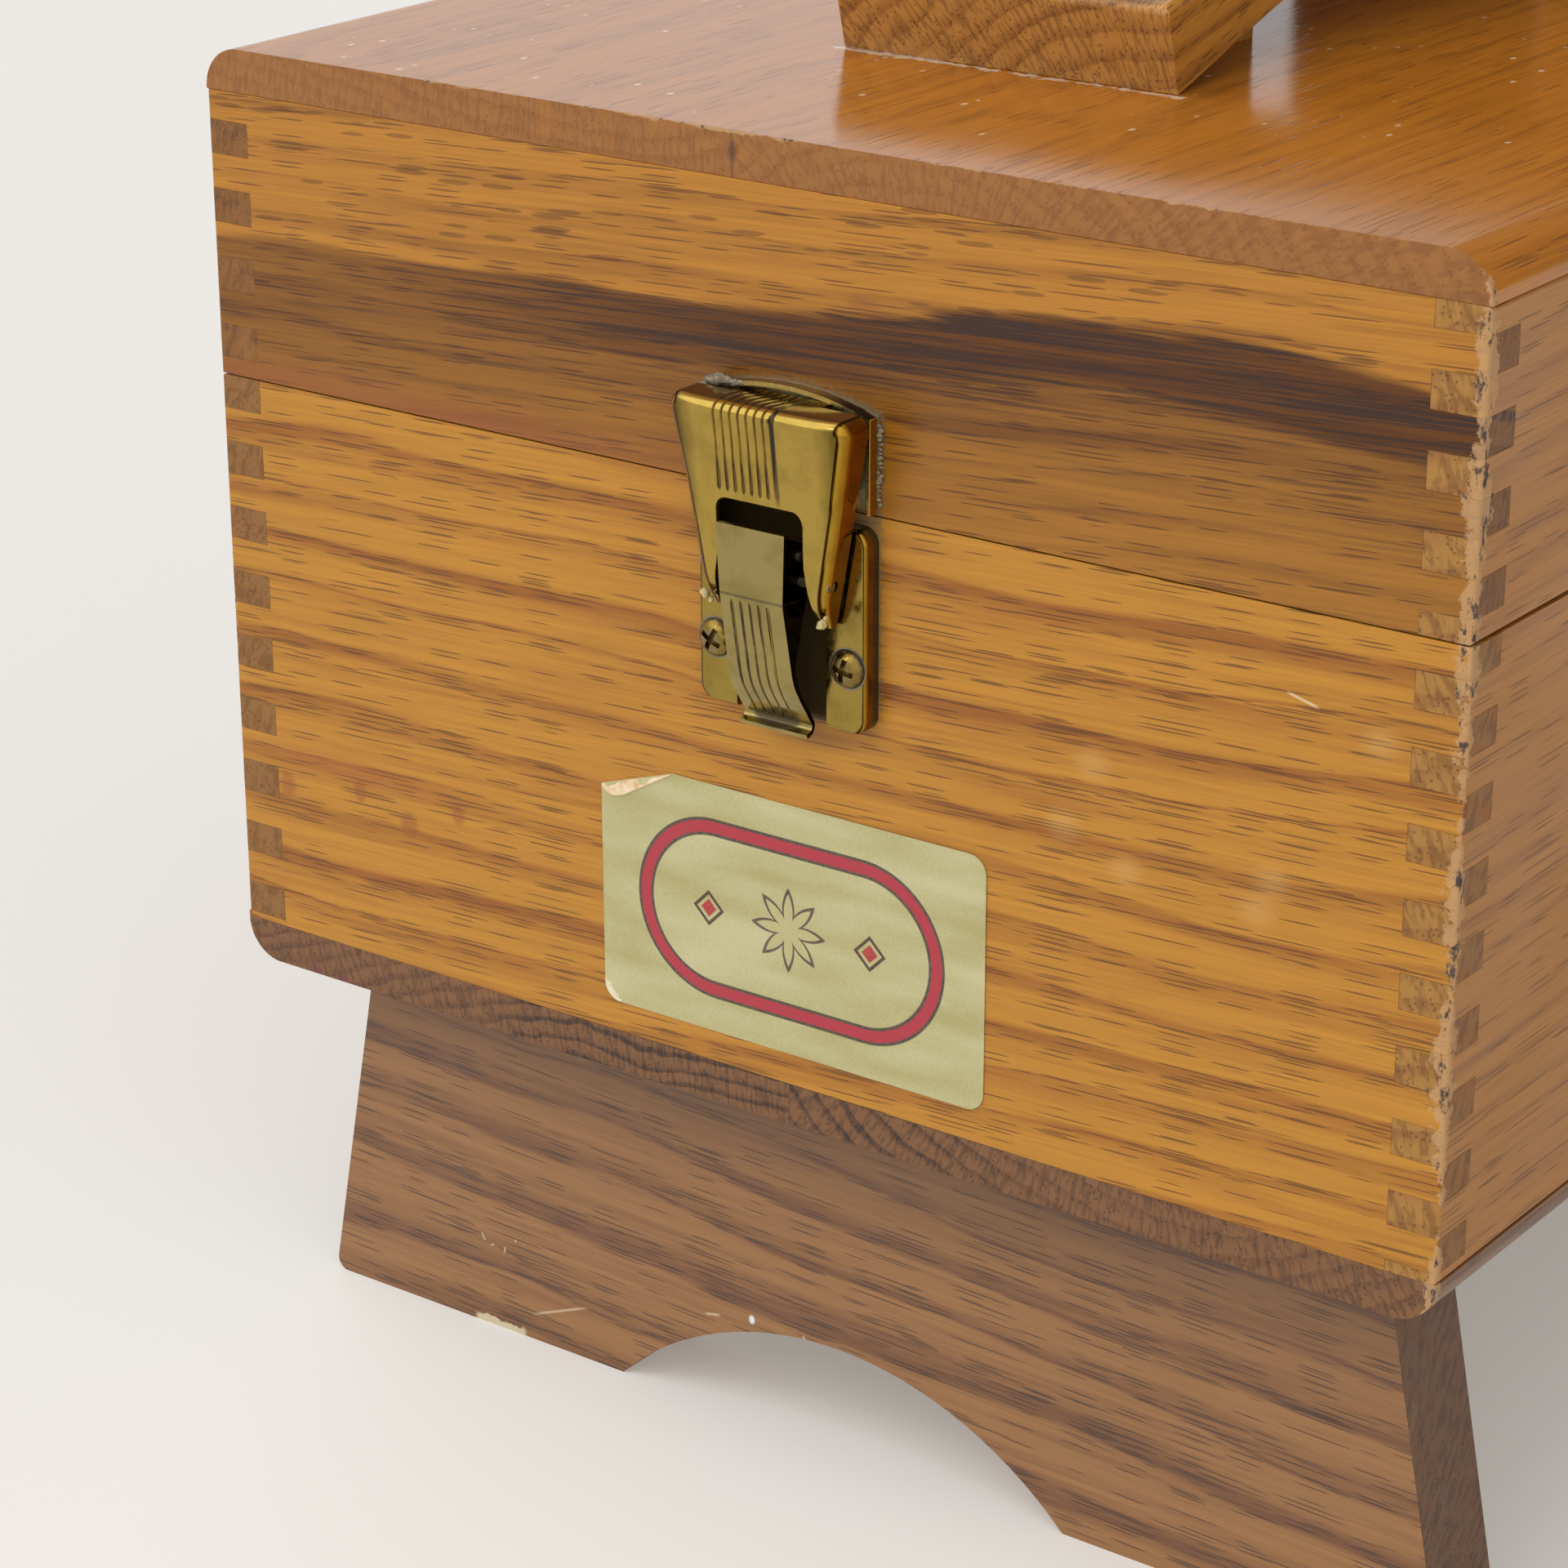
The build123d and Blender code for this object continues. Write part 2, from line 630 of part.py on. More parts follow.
with BuildPart() as latch_hasp:
    with BuildSketch(front_plane(hasp_back_out)) as hasp_face:
        with Locations((latch_offset, underside_z)):
            Polygon(*hasp_outline, align=None)
        fillet(hasp_face.vertices().group_by(Axis.Y)[-1], hasp_corner_round)
    extrude(amount=hasp_flange_depth)
    front_edges = latch_hasp.faces().sort_by(Axis.Y)[0].edges()
    fillet(front_edges.sort_by(Axis.Z)[1:], hasp_edge_round)
    with BuildSketch(front_plane(hasp_back_out)):
        add(hasp_face.sketch)
        offset(amount=-hasp_sheet, mode=Mode.REPLACE)
    extrude(amount=hasp_flange_depth - hasp_sheet, mode=Mode.SUBTRACT)
    with BuildSketch(front_plane(hasp_back_out)) as window:
        with Locations((latch_offset, underside_z)):
            window_outline = [
                (window_tip_width / 2, hasp_tip - hasp_sheet),
                (window_width / 2, window_flare),
                (window_width / 2, window_top),
            ]
            mirrored = [(-across, height) for across, height in reversed(window_outline)]
            Polygon(*window_outline, *mirrored, align=None)
        fillet(window.vertices().group_by(Axis.Y)[-1], window_corner_round)
    extrude(amount=hasp_flange_depth, mode=Mode.SUBTRACT)
    with BuildSketch(latch_middle_plane):
        with BuildLine():
            Polyline(
                beside(hasp_back_out + hasp_sheet, hasp_top),
                beside(hook_out, hasp_top),
                beside(hook_out, hook_bottom),
                beside(hook_out + hook_sheet, hook_bottom),
                beside(hook_out + hook_sheet, hasp_top - hasp_sheet),
                beside(hasp_back_out + hasp_sheet, hasp_top - hasp_sheet),
                close=True,
            )
        make_face()
    extrude(amount=hook_width / 2, both=True)
    with BuildSketch(latch_middle_plane):
        with Locations(hasp_pin_point):
            Circle(hasp_pin_radius + pin_clearance)
    extrude(amount=hasp_top_width, both=True, mode=Mode.SUBTRACT)
write(latch_hasp, "latch_hasp")

hasp_taper = (hasp_top_width - hasp_tip_width) / (hasp_top - hasp_tip)
hasp_pin_length = hasp_tip_width + hasp_taper * (hasp_pin_height - hasp_tip) - hasp_sheet / 2
with BuildPart() as latch_hasp_pin:
    with BuildSketch(latch_middle_plane):
        with Locations(hasp_pin_point):
            Circle(hasp_pin_radius)
    extrude(amount=hasp_pin_length / 2, both=True)
write(latch_hasp_pin, "latch_hasp_pin")

# ---- Draw latch: catch on the lid ---------------------------------------------------------------
with BuildPart() as latch_catch:
    with BuildSketch(front_plane(0)) as pan_face:
        with BuildLine():
            Polyline(
                (latch_offset - catch_width / 2, underside_z + catch_side_top),
                (latch_offset - catch_width / 2, underside_z + catch_bottom),
                (latch_offset + catch_width / 2, underside_z + catch_bottom),
                (latch_offset + catch_width / 2, underside_z + catch_side_top),
            )
            ThreePointArc(
                (latch_offset + catch_width / 2, underside_z + catch_side_top),
                (latch_offset, underside_z + catch_crown_top),
                (latch_offset - catch_width / 2, underside_z + catch_side_top),
            )
        make_face()
    extrude(amount=catch_out)
    with BuildSketch(front_plane(catch_sheet)):
        add(pan_face.sketch)
        offset(amount=-catch_sheet, mode=Mode.REPLACE)
        with Locations((latch_offset, underside_z + catch_bottom + catch_sheet)):
            Rectangle(catch_width - 2 * catch_sheet, 2 * catch_sheet, align=(Align.CENTER, Align.MAX))
    extrude(amount=catch_out, mode=Mode.SUBTRACT)
    with BuildSketch(latch_middle_plane):
        with BuildLine():
            Polyline(
                beside(catch_sheet / 2, catch_shelf),
                beside(catch_lip_out + catch_sheet, catch_shelf),
                beside(catch_lip_out + catch_sheet, catch_lip_top),
                beside(catch_lip_out, catch_lip_top),
                beside(catch_lip_out, catch_shelf + catch_sheet),
                beside(catch_sheet / 2, catch_shelf + catch_sheet),
                close=True,
            )
        make_face()
    extrude(amount=hook_width / 2, both=True)
    add(catch_screw_holes.part, mode=Mode.SUBTRACT)
write(latch_catch, "latch_catch")

# ---- Label --------------------------------------------------------------------------------------
with BuildPart() as label_foil:
    with BuildSketch(front_plane(0)):
        with Locations((label_offset, underside_z + label_bottom + label_height / 2)):
            RectangleRounded(label_width, label_height, label_corner_round)
    extrude(amount=label_thick)
write(label_foil, "label_foil")
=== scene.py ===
# %% [markdown]
# # A shoe shine box in oak and brass
# This box stands on two arched feet, opens at the back on hinges, closes with a draw latch in front,
# and carries a sloping foot rest on its lid. The solid model already has every size and joint. This
# lesson gives it its looks: the wood inside and outside, polished brass, worn corners and a foil label.
# Everything is in metres, +Z is up, and the latch side faces -Y.

# %% Load the solid model as a fixed frame
import math
import random
from functools import partial

import bmesh
import bpy
from mathutils import Euler, Matrix, Vector, noise


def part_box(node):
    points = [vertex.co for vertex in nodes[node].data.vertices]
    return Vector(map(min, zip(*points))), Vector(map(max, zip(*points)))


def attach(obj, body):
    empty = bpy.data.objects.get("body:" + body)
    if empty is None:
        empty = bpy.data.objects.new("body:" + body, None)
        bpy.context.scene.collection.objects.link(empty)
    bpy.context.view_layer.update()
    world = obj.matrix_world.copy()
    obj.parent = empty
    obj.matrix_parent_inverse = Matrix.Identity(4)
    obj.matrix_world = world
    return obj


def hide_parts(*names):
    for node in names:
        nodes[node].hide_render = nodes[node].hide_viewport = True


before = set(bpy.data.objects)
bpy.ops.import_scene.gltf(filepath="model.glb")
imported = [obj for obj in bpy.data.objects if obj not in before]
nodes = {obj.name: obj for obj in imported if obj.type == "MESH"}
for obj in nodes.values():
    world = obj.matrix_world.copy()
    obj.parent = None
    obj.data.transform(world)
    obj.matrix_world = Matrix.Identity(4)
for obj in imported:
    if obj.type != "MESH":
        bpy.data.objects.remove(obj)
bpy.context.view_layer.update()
mm, to_mm = 0.001, 1000.0

# %% [markdown]
# ## Small helpers
# Colours are written as sRGB hex, as a picture editor shows them, but a shader works with linear
# light. One function turns them. One more adds a node with its settings and its links, and two small
# ones start a material and fill its shader, which keeps the materials short enough to read.

# %% Colours, nodes and materials


def linear(hex_colour):
    """An sRGB hex colour as the linear values that a shader needs."""
    channels = [int(hex_colour[i : i + 2], 16) / 255 for i in (1, 3, 5)]
    return tuple(c / 12.92 if c <= 0.04045 else ((c + 0.055) / 1.055) ** 2.4 for c in channels) + (1.0,)


def fill(socket, value):
    """A socket takes a value, another node's output, or another node, whose first output is then linked."""
    if isinstance(value, bpy.types.Node):
        value = next(s for s in value.outputs if s.enabled)
    if isinstance(value, bpy.types.NodeSocket):
        socket.id_data.links.new(value, socket)
    else:
        socket.default_value = value


def add(tree, kind, *values, **named):
    """Adds a node. Bare values and capitalised names fill its sockets, and small names are its settings."""
    node = tree.nodes.new(kind if kind.startswith("NodeGroup") else "ShaderNode" + kind)
    for name, value in named.items():
        if name[0].islower():
            setattr(node, name, value)
    sockets = [s for s in node.inputs if s.enabled]
    by_name = {s.name.replace(" ", "_"): s for s in reversed(sockets)}
    filled = list(zip(sockets, values)) + [(by_name[n], v) for n, v in named.items() if n[0].isupper()]
    for socket, value in filled:
        fill(socket, value)
    return node


def start_material(name):
    """A new material, with the function that adds its nodes, and its coordinates."""
    material = bpy.data.materials.new(name)
    material.use_nodes = True
    node = partial(add, material.node_tree)
    return material, node, node("TexCoord").outputs


def dress(material, **sockets):
    """Fills sockets of the material's shader. An underscore in a name stands for a space."""
    shader = material.node_tree.nodes["Principled BSDF"]
    for name, value in sockets.items():
        fill(shader.inputs[name.replace("_", " ")], value)
    return material


# %% [markdown]
# ## The camera
# The photograph was taken from the right, a little above the lid, with a longish lens. Camera angles
# and the lens were found by matching the box's corners, so the camera is simply put where they say.

# %% Camera
camera_place = Vector((0.4152, -0.7150, 0.4114))
azimuth, elevation, roll = math.radians(36.6), math.radians(21.3), math.radians(-0.2)
focal_pixels, picture_pixels = 5294.9, 1920

backward = Vector(
    (math.sin(azimuth) * math.cos(elevation), -math.cos(azimuth) * math.cos(elevation), math.sin(elevation))
)
level_right = Vector((math.cos(azimuth), math.sin(azimuth), 0.0))
level_up = backward.cross(level_right)
camera_right = level_right * math.cos(roll) + level_up * math.sin(roll)
camera_up = level_up * math.cos(roll) - level_right * math.sin(roll)

camera_data = bpy.data.cameras.new("photo_camera")
camera_data.sensor_width = 36.0
camera_data.lens = 36.0 * focal_pixels / picture_pixels
camera = bpy.data.objects.new("photo_camera", camera_data)
bpy.context.scene.collection.objects.link(camera)
camera.matrix_world = Matrix(
    (
        (camera_right.x, camera_up.x, backward.x, camera_place.x),
        (camera_right.y, camera_up.y, backward.y, camera_place.y),
        (camera_right.z, camera_up.z, backward.z, camera_place.z),
        (0.0, 0.0, 0.0, 1.0),
    )
)
bpy.context.scene.camera = camera
print("lens", round(camera_data.lens, 1), "mm")

# %% [markdown]
# ## Floor and light
# A studio table shot: a pale table that runs out of the picture and glows a little, as it is lit from
# below, and soft light from all round. A broad soft light from the upper left makes the front brighter
# than the right side. It is a sun lamp with a wide disc, so it falls evenly on the whole table. A
# weaker one fills in from the right, and a small square lamp in front is the window that the brass
# glints with. The varnish and the brass mirror what stands round the box, so the surroundings are
# white, but grey from the right round to the back, which is what the box's right side mirrors.

# %% Floor
bpy.ops.mesh.primitive_plane_add(size=16.0)
floor = bpy.context.object
floor.name = "studio_floor"

table = bpy.data.materials.new("lit_studio_table")
table.use_nodes = True
dress(table, Base_Color=linear("#CBCAC9"), Roughness=0.9, Specular_IOR_Level=0.1)
dress(table, Emission_Color=linear("#FFF8EE"), Emission_Strength=0.24)
floor.data.materials.append(table)

# %% Surroundings
bpy.context.scene.view_settings.view_transform = "Standard"
world = bpy.data.worlds.new("studio")
bpy.context.scene.world = world
world.use_nodes = True
sky = world.node_tree
sky.nodes.clear()
direction = add(sky, "TexCoord").outputs["Generated"]
grey_side = (0.875, 0.485, 0.0)
towards_right = add(sky, "VectorMath", direction, grey_side, operation="DOT_PRODUCT").outputs["Value"]
side = add(sky, "MapRange", towards_right, -0.06, 0.12, interpolation_type="SMOOTHSTEP")
towards_back = add(sky, "SeparateXYZ", direction).outputs["Y"]
behind = add(sky, "MapRange", towards_back, -0.25, 0.1, interpolation_type="SMOOTHSTEP")
shady = add(sky, "Math", side, behind, operation="MULTIPLY")
tones = add(sky, "Mix", shady, linear("#FFFFFF"), linear("#6E6B67"), data_type="RGBA")
glow = add(sky, "Background", tones, 0.86)
add(sky, "OutputWorld", glow)


# %% Lamps
def soft_lamp(name, kind, place, target, power, hex_colour, size):
    """A lamp that points at a target. Its size is a sun's disc in degrees, or a square's side in metres."""
    data = bpy.data.lights.new(name, kind)
    if kind == "SUN":
        data.angle = math.radians(size)
    else:
        data.shape = "SQUARE"
        data.size = size
    data.energy = power
    data.color = linear(hex_colour)[:3]
    lamp = bpy.data.objects.new(name, data)
    bpy.context.scene.collection.objects.link(lamp)
    lamp.location = place
    lamp.rotation_euler = (Vector(target) - Vector(place)).to_track_quat("-Z", "Y").to_euler()
    return lamp


soft_lamp("broad_key", "SUN", (-0.7, -1.0, 1.9), (0.0, 0.0, 0.1), 1.0, "#FFFDF8", 70.0)
soft_lamp("right_fill", "SUN", (1.7, -0.8, 1.0), (0.0, 0.0, 0.1), 0.8, "#FFFDF8", 110.0)
soft_lamp("window_glint", "AREA", (-0.5, -1.4, 1.6), (0.0, 0.0, 0.15), 1.5, "#FFFDF8", 0.25)

# %% [markdown]
# ## What oak is made of
# The box is oak: a coarse wood whose rings each start with a band of wide open vessels. Cut along the
# grain, the vessels are dark dashes; cut across it, the rings are arcs crossed by fine pale rays. A
# flat picture of wood would stop at every edge, so this pattern fills space: it is the inside of a
# trunk that runs along X, and each board says where in the trunk it was sawn from. Real sizes: rings
# of 3 to 9 mm, vessels 0.3 to 0.9 mm wide and 8 to 15 mm long, fibres drawn half a millimetre wide.

# %% The wood pattern, as one node group
oak_sockets = {
    "Place": ("NodeSocketVector", (0.0, 0.0, 0.0)),
    "End": ("NodeSocketFloat", 0.0),
    "Heart": ("NodeSocketFloat", 0.0),
    "Ring": ("NodeSocketFloat", 6.0),
    "Lenses": ("NodeSocketFloat", 0.3),
    "Threads": ("NodeSocketFloat", 1.0),
    "Bands": ("NodeSocketFloat", 1.0),
    "Arc": ("NodeSocketFloat", 100.0),
    "Pale": ("NodeSocketColor", linear("#C48B40")),
    "Warm": ("NodeSocketColor", linear("#9C6633")),
    "Vessel": ("NodeSocketColor", linear("#6A4220")),
    "Dark": ("NodeSocketColor", linear("#523830")),
    "Cut": ("NodeSocketColor", linear("#9A6A3A")),
}


def build_oak_pattern():
    """A node group for the inside of an oak trunk, whose middle line is X. Place is in millimetres."""
    tree = bpy.data.node_groups.new("oak_inside", "ShaderNodeTree")
    for name, (kind, value) in oak_sockets.items():
        tree.interface.new_socket(name=name, in_out="INPUT", socket_type=kind).default_value = value
    tree.interface.new_socket(name="Colour", in_out="OUTPUT", socket_type="NodeSocketColor")
    for name in ("Height", "Sawn"):
        tree.interface.new_socket(name=name, in_out="OUTPUT", socket_type="NodeSocketFloat")
    node = partial(add, tree)
    given = node("NodeGroupInput").outputs
    place = given["Place"]

    # Rings: distance from the trunk's middle, bent by slow and quick waves.
    slow_bend, quick_bend = 22.0, 2.4
    slow_place = node("VectorMath", place, (0.006, 0.013, 0.013), operation="MULTIPLY")
    slow = node("TexNoise", slow_place, Scale=1.0, Detail=2.0)
    slow = node("Math", slow, slow_bend, -slow_bend / 2, operation="MULTIPLY_ADD")
    quick_place = node("VectorMath", place, (0.02, 0.16, 0.16), operation="MULTIPLY")
    quick = node("TexNoise", quick_place, Scale=1.0)
    quick = node("Math", quick, quick_bend, -quick_bend / 2, operation="MULTIPLY_ADD")
    flat = node("VectorMath", place, (0.0, 1.0, 1.0), operation="MULTIPLY")
    radius = node("VectorMath", flat, operation="LENGTH").outputs["Value"]
    bent = node("Math", node("Math", radius, slow, operation="ADD"), quick, operation="ADD")
    ring = node("Math", bent, given["Ring"], operation="DIVIDE")
    share = node("Math", ring, operation="FRACT")
    number = node("Math", ring, operation="FLOOR")
    year = node("TexWhiteNoise", W=number, noise_dimensions="1D").outputs["Value"]
    fading = node("MapRange", share, 0.0, 0.6, 1.0, 0.0, interpolation_type="SMOOTHSTEP")
    rising = node("MapRange", share, 0.88, 1.0, interpolation_type="SMOOTHSTEP")
    strength = node("Math", year, 0.6, 0.4, operation="MULTIPLY_ADD")
    spring = node("Math", node("Math", fading, rising, operation="MAXIMUM"), strength, operation="MULTIPLY")

    # Fibres half a millimetre wide, and slow streaks along the grain.
    fibre_place = node("VectorMath", place, (0.035, 2.2, 2.2), operation="MULTIPLY")
    fibre = node("TexNoise", fibre_place, Scale=1.0, Detail=3.0, Roughness=0.6).outputs[0]
    streak_place = node("VectorMath", place, (0.012, 0.36, 0.36), operation="MULTIPLY")
    streak = node("TexNoise", streak_place, Scale=1.0, Detail=4.0, Roughness=0.66).outputs[0]

    # Vessels are the dark middles of stretched cells, about two thirds as long and wide: lenses of 8 by
    # 0.9 mm, and threads of 8 and 15 by 0.3 mm. They crowd in spring wood, where most cells have one.
    most = 0.6
    crowd = node("MapRange", spring, 0.0, 0.7, 0.3, 1.0, interpolation_type="SMOOTHSTEP")
    kinds = ((11.0, 1.35, given["Lenses"]), (12.0, 0.46, given["Threads"]), (22.0, 0.44, given["Threads"]))
    vessels = []
    for length, width, amount in kinds:
        cell_place = node("VectorMath", place, (1 / length, 1 / width, 1 / width), operation="MULTIPLY")
        cell = node("TexVoronoi", cell_place, Scale=1.0)
        chance = node("SeparateColor", cell.outputs["Color"])
        share_kept = node("Math", amount, most, operation="MULTIPLY")
        share_kept = node("Math", crowd, share_kept, operation="MULTIPLY")
        chosen = node("Math", chance, share_kept, operation="LESS_THAN")
        body = node("MapRange", cell.outputs["Distance"], 0.38, 0.3, interpolation_type="SMOOTHSTEP")
        vessels.append(node("Math", chosen, body, operation="MULTIPLY"))
    lenses = vessels[0]
    threads = node("Math", vessels[1], vessels[2], operation="MAXIMUM")

    # Long grain: pale summer wood, warm spring wood, fibres, vessels, and the dark lines of old heartwood.
    drift = node("Math", streak, 2.4, -1.2, operation="MULTIPLY_ADD")
    tone = node("Math", spring, given["Bands"], drift, operation="MULTIPLY_ADD", use_clamp=True)
    wood = node("Mix", tone, given["Pale"], given["Warm"], data_type="RGBA")
    shade = node("Math", fibre, 0.56, 0.72, operation="MULTIPLY_ADD")
    wood = node("Mix", 1.0, wood, shade, data_type="RGBA", blend_type="MULTIPLY")
    for vessel, depth in ((threads, 0.72), (lenses, 0.5)):
        shown = node("Math", vessel, depth, operation="MULTIPLY")
        wood = node("Mix", shown, wood, given["Vessel"], data_type="RGBA")
    line_place = node("VectorMath", place, (0.015, 0.95, 0.95), operation="MULTIPLY")
    line_noise = node("TexNoise", line_place, Scale=1.0, Detail=5.0, Roughness=0.72).outputs[0]
    older = node("Math", given["Heart"], 0.13, line_noise, operation="MULTIPLY_ADD")
    lines = node("MapRange", older, 0.57, 0.72, interpolation_type="SMOOTHSTEP")
    lines = node("Math", lines, given["Heart"], operation="MULTIPLY", use_clamp=True)
    browned = node("Mix", 1.0, wood, linear("#8F7C5C"), data_type="RGBA", blend_type="MULTIPLY")
    wood = node("Mix", given["Heart"], wood, browned, data_type="RGBA", clamp_factor=True)
    wood = node("Mix", lines, wood, given["Dark"], data_type="RGBA")

    # End grain: the same rings, crossed by fine rays that run out from the trunk's middle, and pitted.
    parts = node("SeparateXYZ", place).outputs
    angle = node("Math", parts["Y"], parts["Z"], operation="ARCTAN2")
    along_ring = node("Math", angle, given["Arc"], operation="MULTIPLY")
    outward = node("Math", radius, 0.16, operation="MULTIPLY")
    fan = node("CombineXYZ", along_ring, outward)
    comb_noise = node("TexNoise", fan, Scale=1.15, Detail=2.0, Roughness=0.7)
    comb = node("MapRange", comb_noise, 0.45, 0.62, interpolation_type="SMOOTHSTEP")
    wide_fan = node("VectorMath", fan, (0.16, 0.3, 1.0), operation="MULTIPLY")
    rays = node("MapRange", node("TexNoise", wide_fan, Scale=1.0, Detail=1.0), 0.66, 0.7)
    pit_place = node("VectorMath", place, (0.05, 1.3, 1.3), operation="MULTIPLY")
    pit_cell = node("TexVoronoi", pit_place, Scale=1.0)
    pit_chance = node("SeparateColor", pit_cell.outputs["Color"])
    pit_share = node("Math", crowd, 0.35, operation="MULTIPLY")
    pit_chosen = node("Math", pit_chance, pit_share, operation="LESS_THAN")
    pit_body = node("MapRange", pit_cell.outputs["Distance"], 0.42, 0.25)
    pits = node("Math", pit_chosen, pit_body, operation="MULTIPLY")
    cut = given["Cut"]
    layers = ((spring, 0.9, "Warm"), (comb, 0.5, "Vessel"), (pits, 0.7, "Vessel"), (rays, 0.2, "Pale"))
    for mask, depth, name in layers:
        shown = node("Math", mask, depth, operation="MULTIPLY")
        cut = node("Mix", shown, cut, given[name], data_type="RGBA")
    old_rings = node("MapRange", spring, 0.3, 0.62, 0.1, 1.0, interpolation_type="SMOOTHSTEP")
    broken = node("Math", comb, 0.55, 0.45, operation="MULTIPLY_ADD")
    old_end = node("Math", old_rings, broken, operation="MULTIPLY")
    old_end = node("Math", old_end, given["Heart"], operation="MULTIPLY")
    cut = node("Mix", old_end, cut, given["Dark"], data_type="RGBA", clamp_factor=True)
    colour = node("Mix", given["End"], wood, cut, data_type="RGBA")

    # Height for the bump: open vessels and saw-torn end grain lie lower.
    vessel = node("Math", lenses, threads, operation="MAXIMUM")
    open_vessels = node("Math", vessel, -0.8, operation="MULTIPLY")
    height = node("Math", fibre, 0.35, open_vessels, operation="MULTIPLY_ADD")
    torn = node("Math", node("Math", comb, pits, operation="ADD"), given["End"], operation="MULTIPLY")
    full = node("Math", torn, -0.6, height, operation="MULTIPLY_ADD")
    node("NodeGroupOutput", Colour=colour, Height=full, Sawn=given["End"])
    return tree


oak_pattern = build_oak_pattern()
print("oak pattern nodes", len(oak_pattern.nodes))

# %% [markdown]
# ## Where the box is bare, and where it is worn
# The outside is varnished. Inside, the wood is bare, so it is paler and dull. The box's corners have
# lost their varnish to years of handling: a pale ragged line runs down each of them, broadest at the
# front right, with dark specks of dirt in it. A thinner pale line along the top's front edge is partly
# wear and partly a painted highlight. All boards share these places, so one group finds them.

# %% Where the box's faces are
front_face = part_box("box_front")[0].y
back_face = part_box("box_back")[1].y
side_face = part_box("box_right_side")[1].x
lid_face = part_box("lid_top")[1].z
box_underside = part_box("box_bottom")[0].z
middle_y = (front_face + back_face) / 2
half_depth = (back_face - front_face) / 2
wall, board = 0.0095, 0.008
hair, fray = 0.0001, 0.00015
print("front", round(front_face, 4), "back", round(back_face, 4), "lid", round(lid_face, 4))


# %% Bare and worn places, as one node group
def build_wear_pattern():
    """From a point in metres: Bare is 1 inside the box. The second output is 1 where the varnish is gone,
    and along the top's front edge also where a pale highlight is painted. Specks is the dirt there. A
    hair keeps the inner faces themselves inside, and fray softens a worn edge."""
    tree = bpy.data.node_groups.new("bare_and_worn", "ShaderNodeTree")
    tree.interface.new_socket(name="Point", in_out="INPUT", socket_type="NodeSocketVector")
    for name in ("Bare", "Rubbed", "Specks"):
        tree.interface.new_socket(name=name, in_out="OUTPUT", socket_type="NodeSocketFloat")
    node = partial(add, tree)
    point = node("NodeGroupInput").outputs["Point"]
    centred = node("VectorMath", point, (0.0, -middle_y, 0.0), operation="ADD")
    signs = node("SeparateXYZ", centred).outputs
    parts = node("SeparateXYZ", node("VectorMath", centred, operation="ABSOLUTE")).outputs
    within = [
        node("Math", parts["X"], side_face - wall + hair, operation="LESS_THAN"),
        node("Math", parts["Y"], half_depth - wall + hair, operation="LESS_THAN"),
        node("Math", parts["Z"], box_underside + board - hair, operation="GREATER_THAN"),
        node("Math", parts["Z"], lid_face - board + hair, operation="LESS_THAN"),
    ]
    across = node("Math", within[0], within[1], operation="MULTIPLY")
    upright = node("Math", within[2], within[3], operation="MULTIPLY")
    bare = node("Math", across, upright, operation="MULTIPLY")

    from_side = node("Math", side_face, parts["X"], operation="SUBTRACT")
    from_front = node("Math", half_depth, parts["Y"], operation="SUBTRACT")
    from_top = node("Math", lid_face, parts["Z"], operation="SUBTRACT")
    corner = node("Math", from_side, from_front, operation="MAXIMUM")
    rim = node("Math", from_front, from_top, operation="MAXIMUM")
    right = node("Math", signs["X"], 0.0, operation="GREATER_THAN")
    front = node("Math", signs["Y"], 0.0, operation="LESS_THAN")
    front_right = node("Math", right, front, operation="MULTIPLY")
    ragged = node("TexNoise", point, Scale=260.0, Detail=6.0, Roughness=0.8)
    slow = node("TexNoise", point, Scale=38.0, Detail=2.0)
    both = node("Math", ragged, slow, operation="MULTIPLY")
    widest = node("Math", front_right, 0.0034, 0.0014, operation="MULTIPLY_ADD")
    reach = node("Math", node("MapRange", both, 0.18, 0.42), widest, operation="MULTIPLY")
    # The thin pale line along the top's front edge: partly wear, partly a painted highlight.
    rim_wear_and_highlight_reach = node("MapRange", both, 0.25, 0.5, 0.0, 0.001)
    rubbed_and_highlit = node(
        "Math",
        node("MapRange", node("Math", reach, corner, operation="SUBTRACT"), 0.0, fray),
        node("MapRange", node("Math", rim_wear_and_highlight_reach, rim, operation="SUBTRACT"), 0.0, fray),
        operation="MAXIMUM",
    )
    dot_place = node("VectorMath", point, (1.0, 1.0, 0.45), operation="MULTIPLY")
    dots = node("TexNoise", dot_place, Scale=520.0, Detail=4.0, Roughness=0.7)
    specks = node("MapRange", dots, 0.55, 0.62)
    specks = node("Math", specks, rubbed_and_highlit, operation="MULTIPLY")
    node("NodeGroupOutput", Bare=bare, Rubbed=rubbed_and_highlit, Specks=specks)
    return tree


wear_pattern = build_wear_pattern()
print("wear pattern nodes", len(wear_pattern.nodes))

# %% [markdown]
# ## Boards cut from the trunk
# A board's material says how the board lay in the trunk: which way its grain runs, where the trunk's
# middle was, and how old and dark that part was. Faces across the grain are told from faces along it
# by their normal. Some boards carry marks of their own, such as a dark heartwood streak or a stain.


# %% A board's material
def turned(rise_degrees=0.0, along="X"):
    """How the wood is turned so that its grain runs along X or Y, rising by some degrees."""
    if along == "X":
        return Euler((0.0, math.radians(rise_degrees), 0.0))
    return Euler((0.0, 0.0, -math.pi / 2)).to_matrix().to_euler()


